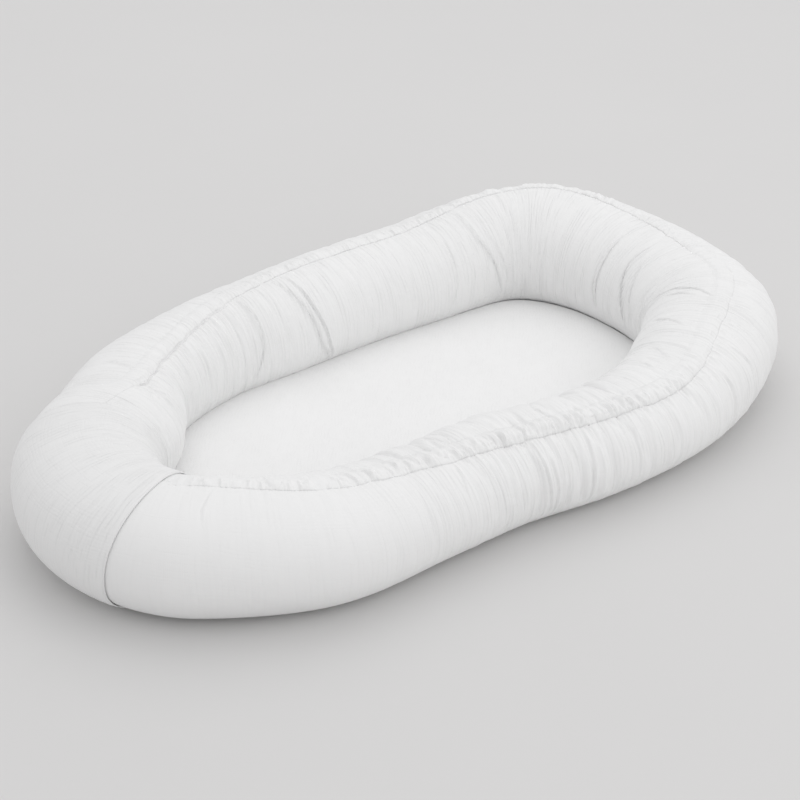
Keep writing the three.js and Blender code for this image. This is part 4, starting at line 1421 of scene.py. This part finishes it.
def zip_coil(name, node, side):
    """A row of coil turns, as wound monofilament."""
    low, high = box_of(node)
    half = (high - low) / 2 - coil_wire_radius
    centre = (low + high) / 2
    turns = int((high[0] - low[0] - 2 * coil_wire_radius) / coil_pitch)
    t = np.linspace(0, turns * 2 * math.pi, turns * coil_steps + 1)
    x = low[0] + coil_wire_radius + t / (2 * math.pi) * coil_pitch
    path = np.stack([x, centre[1] + half[1] * np.cos(t) * side, centre[2] + half[2] * np.sin(t)], axis=1)
    tangent = np.gradient(path, axis=0)
    tangent /= np.linalg.norm(tangent, axis=1)[:, None]
    first = np.cross(tangent, [1.0, 0, 0])
    first /= np.linalg.norm(first, axis=1)[:, None]
    second = np.cross(tangent, first)
    a = np.linspace(0, 2 * math.pi, wire_sides, endpoint=False)
    round_wire = first[:, None] * np.cos(a)[None, :, None] + second[:, None] * np.sin(a)[None, :, None]
    points = path[:, None] + coil_wire_radius * round_wire
    piece = piece_of(name, points.reshape(-1, 3), tube_faces(len(path), wire_sides))
    dress(piece, "root", zip_plastic, node)


def bevelled(node, width, segments=3):
    """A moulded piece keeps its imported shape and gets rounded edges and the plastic."""
    piece = frame["nodes"][node]
    edge = piece.modifiers.new("rounded edges", "BEVEL")
    edge.width, edge.segments, edge.limit_method = width, segments, "ANGLE"
    piece.data.materials.clear()
    piece.data.materials.append(zip_plastic)


# The scene

photo_pixels = 800
photo_focal_pixels = 2144
camera_azimuth = -38
camera_elevation = 30
camera_distance = 2.18
camera_target = Vector((-0.0244, -0.0317, 0.06))

floor_half = 6.0
floor_grey = (0.68, 0.675, 0.67)
world_white = (0.98, 0.978, 0.985, 1)
world_strength = 0.82
light_size = 2.4
key_light_place = (0.8, 0.9, 2.4)
key_light_power = 12
near_light_place = (0.8, -2.1, 1.5)
near_light_power = 11


def camera():
    """The photo's camera, fitted to the lounger's outline."""
    data = bpy.data.cameras.new("camera")
    data.sensor_width = 36.0
    data.lens = photo_focal_pixels / photo_pixels * data.sensor_width
    made = bpy.data.objects.new("camera", data)
    bpy.context.scene.collection.objects.link(made)
    azimuth, elevation = math.radians(camera_azimuth), math.radians(camera_elevation)
    level = math.cos(elevation)
    back = Vector((math.sin(azimuth) * level, -math.cos(azimuth) * level, math.sin(elevation)))
    made.location = camera_target + back * camera_distance
    made.rotation_mode = "QUATERNION"
    made.rotation_quaternion = (-back).to_track_quat("-Z", "Y")
    bpy.context.scene.camera = made


def area_light(name, place, power):
    """A square light that faces the middle of the lounger."""
    data = bpy.data.lights.new(name, "AREA")
    data.shape, data.size, data.energy = "SQUARE", light_size, power
    made = bpy.data.objects.new(name, data)
    made.location = place
    made.rotation_mode = "QUATERNION"
    made.rotation_quaternion = (-Vector(place)).to_track_quat("-Z", "Y")
    bpy.context.scene.collection.objects.link(made)


def studio():
    """A plain pale floor, an even sky, and two soft lights: from above and behind, and from the near side."""
    corners = [(-floor_half, -floor_half, 0), (floor_half, -floor_half, 0)]
    corners += [(floor_half, floor_half, 0), (-floor_half, floor_half, 0)]
    floor = piece_of("floor", corners, [[0, 1, 2, 3]])
    material, tree, shader = new_material("floor")
    shader.inputs["Roughness"].default_value = 0.8
    place = add_node(tree, "ShaderNodeTexCoord").outputs["Object"]
    cloud = add_node(tree, "ShaderNodeTexNoise", {"Vector": place, "Scale": 3.0, "Detail": 4.0})
    tone = maths(tree, "ADD", maths(tree, "MULTIPLY", cloud.outputs[0], 0.03), 0.985)
    paint(tree, shader, floor_grey, tone)
    floor.data.materials.append(material)
    world = bpy.data.worlds.new("studio")
    world.use_nodes = True
    world.node_tree.nodes["Background"].inputs["Color"].default_value = world_white
    world.node_tree.nodes["Background"].inputs["Strength"].default_value = world_strength
    bpy.context.scene.world = world
    bpy.context.scene.view_settings.view_transform = "Standard"
    area_light("key light", key_light_place, key_light_power)
    area_light("near light", near_light_place, near_light_power)


# How much longer each panel is cut than its place on the ring: at the seam and on the wall
outer_fullness = (1.4, 1.15)
inner_fullness = (1.35, 1.35)

outer_end = -lower_seam_angle
inner_end = 180 + lower_seam_angle
skins = [
    ring_panel(
        "outer_cloth", outer_end, outer_folds, outer_strength, outer_lines, outer_fullness, 1, "outer_panel",
    ),
    ring_panel(
        "inner_cloth", inner_end, inner_folds, inner_strength, inner_lines, inner_fullness, 2, "inner_panel",
    ),
]
ring_stuffing()
casing(skins)
elastic(skins)
sleeve()
mattress_pad()
mattress_top()
mattress_underside()
base_cloth()
underside_cloth("underside_cloth_near", 2 * mm, run_at(foot_to_angle), "underside_strip_near")
underside_cloth("underside_cloth_far", run_at(foot_from_angle), ring_length - 2 * mm, "underside_strip_far")
end_cloth("end_cloth_near", join_gap / 2 + panel_thickness, -1, "end_cap_near")
end_cloth("end_cloth_far", ring_length - join_gap / 2 - panel_thickness, 1, "end_cap_far")
zip_tape("tape_near", "zip_tape_near")
zip_tape("tape_far", "zip_tape_far")
zip_coil("coil_near", "zip_coil_near", 1)
zip_coil("coil_far", "zip_coil_far", -1)
bevelled("zip_stop_foot", 0.3 * mm)
bevelled("zip_stop_head", 0.3 * mm)
bevelled("zip_slider", 0.35 * mm)
bevelled("zip_pull", 0.3 * mm)
camera()
studio()
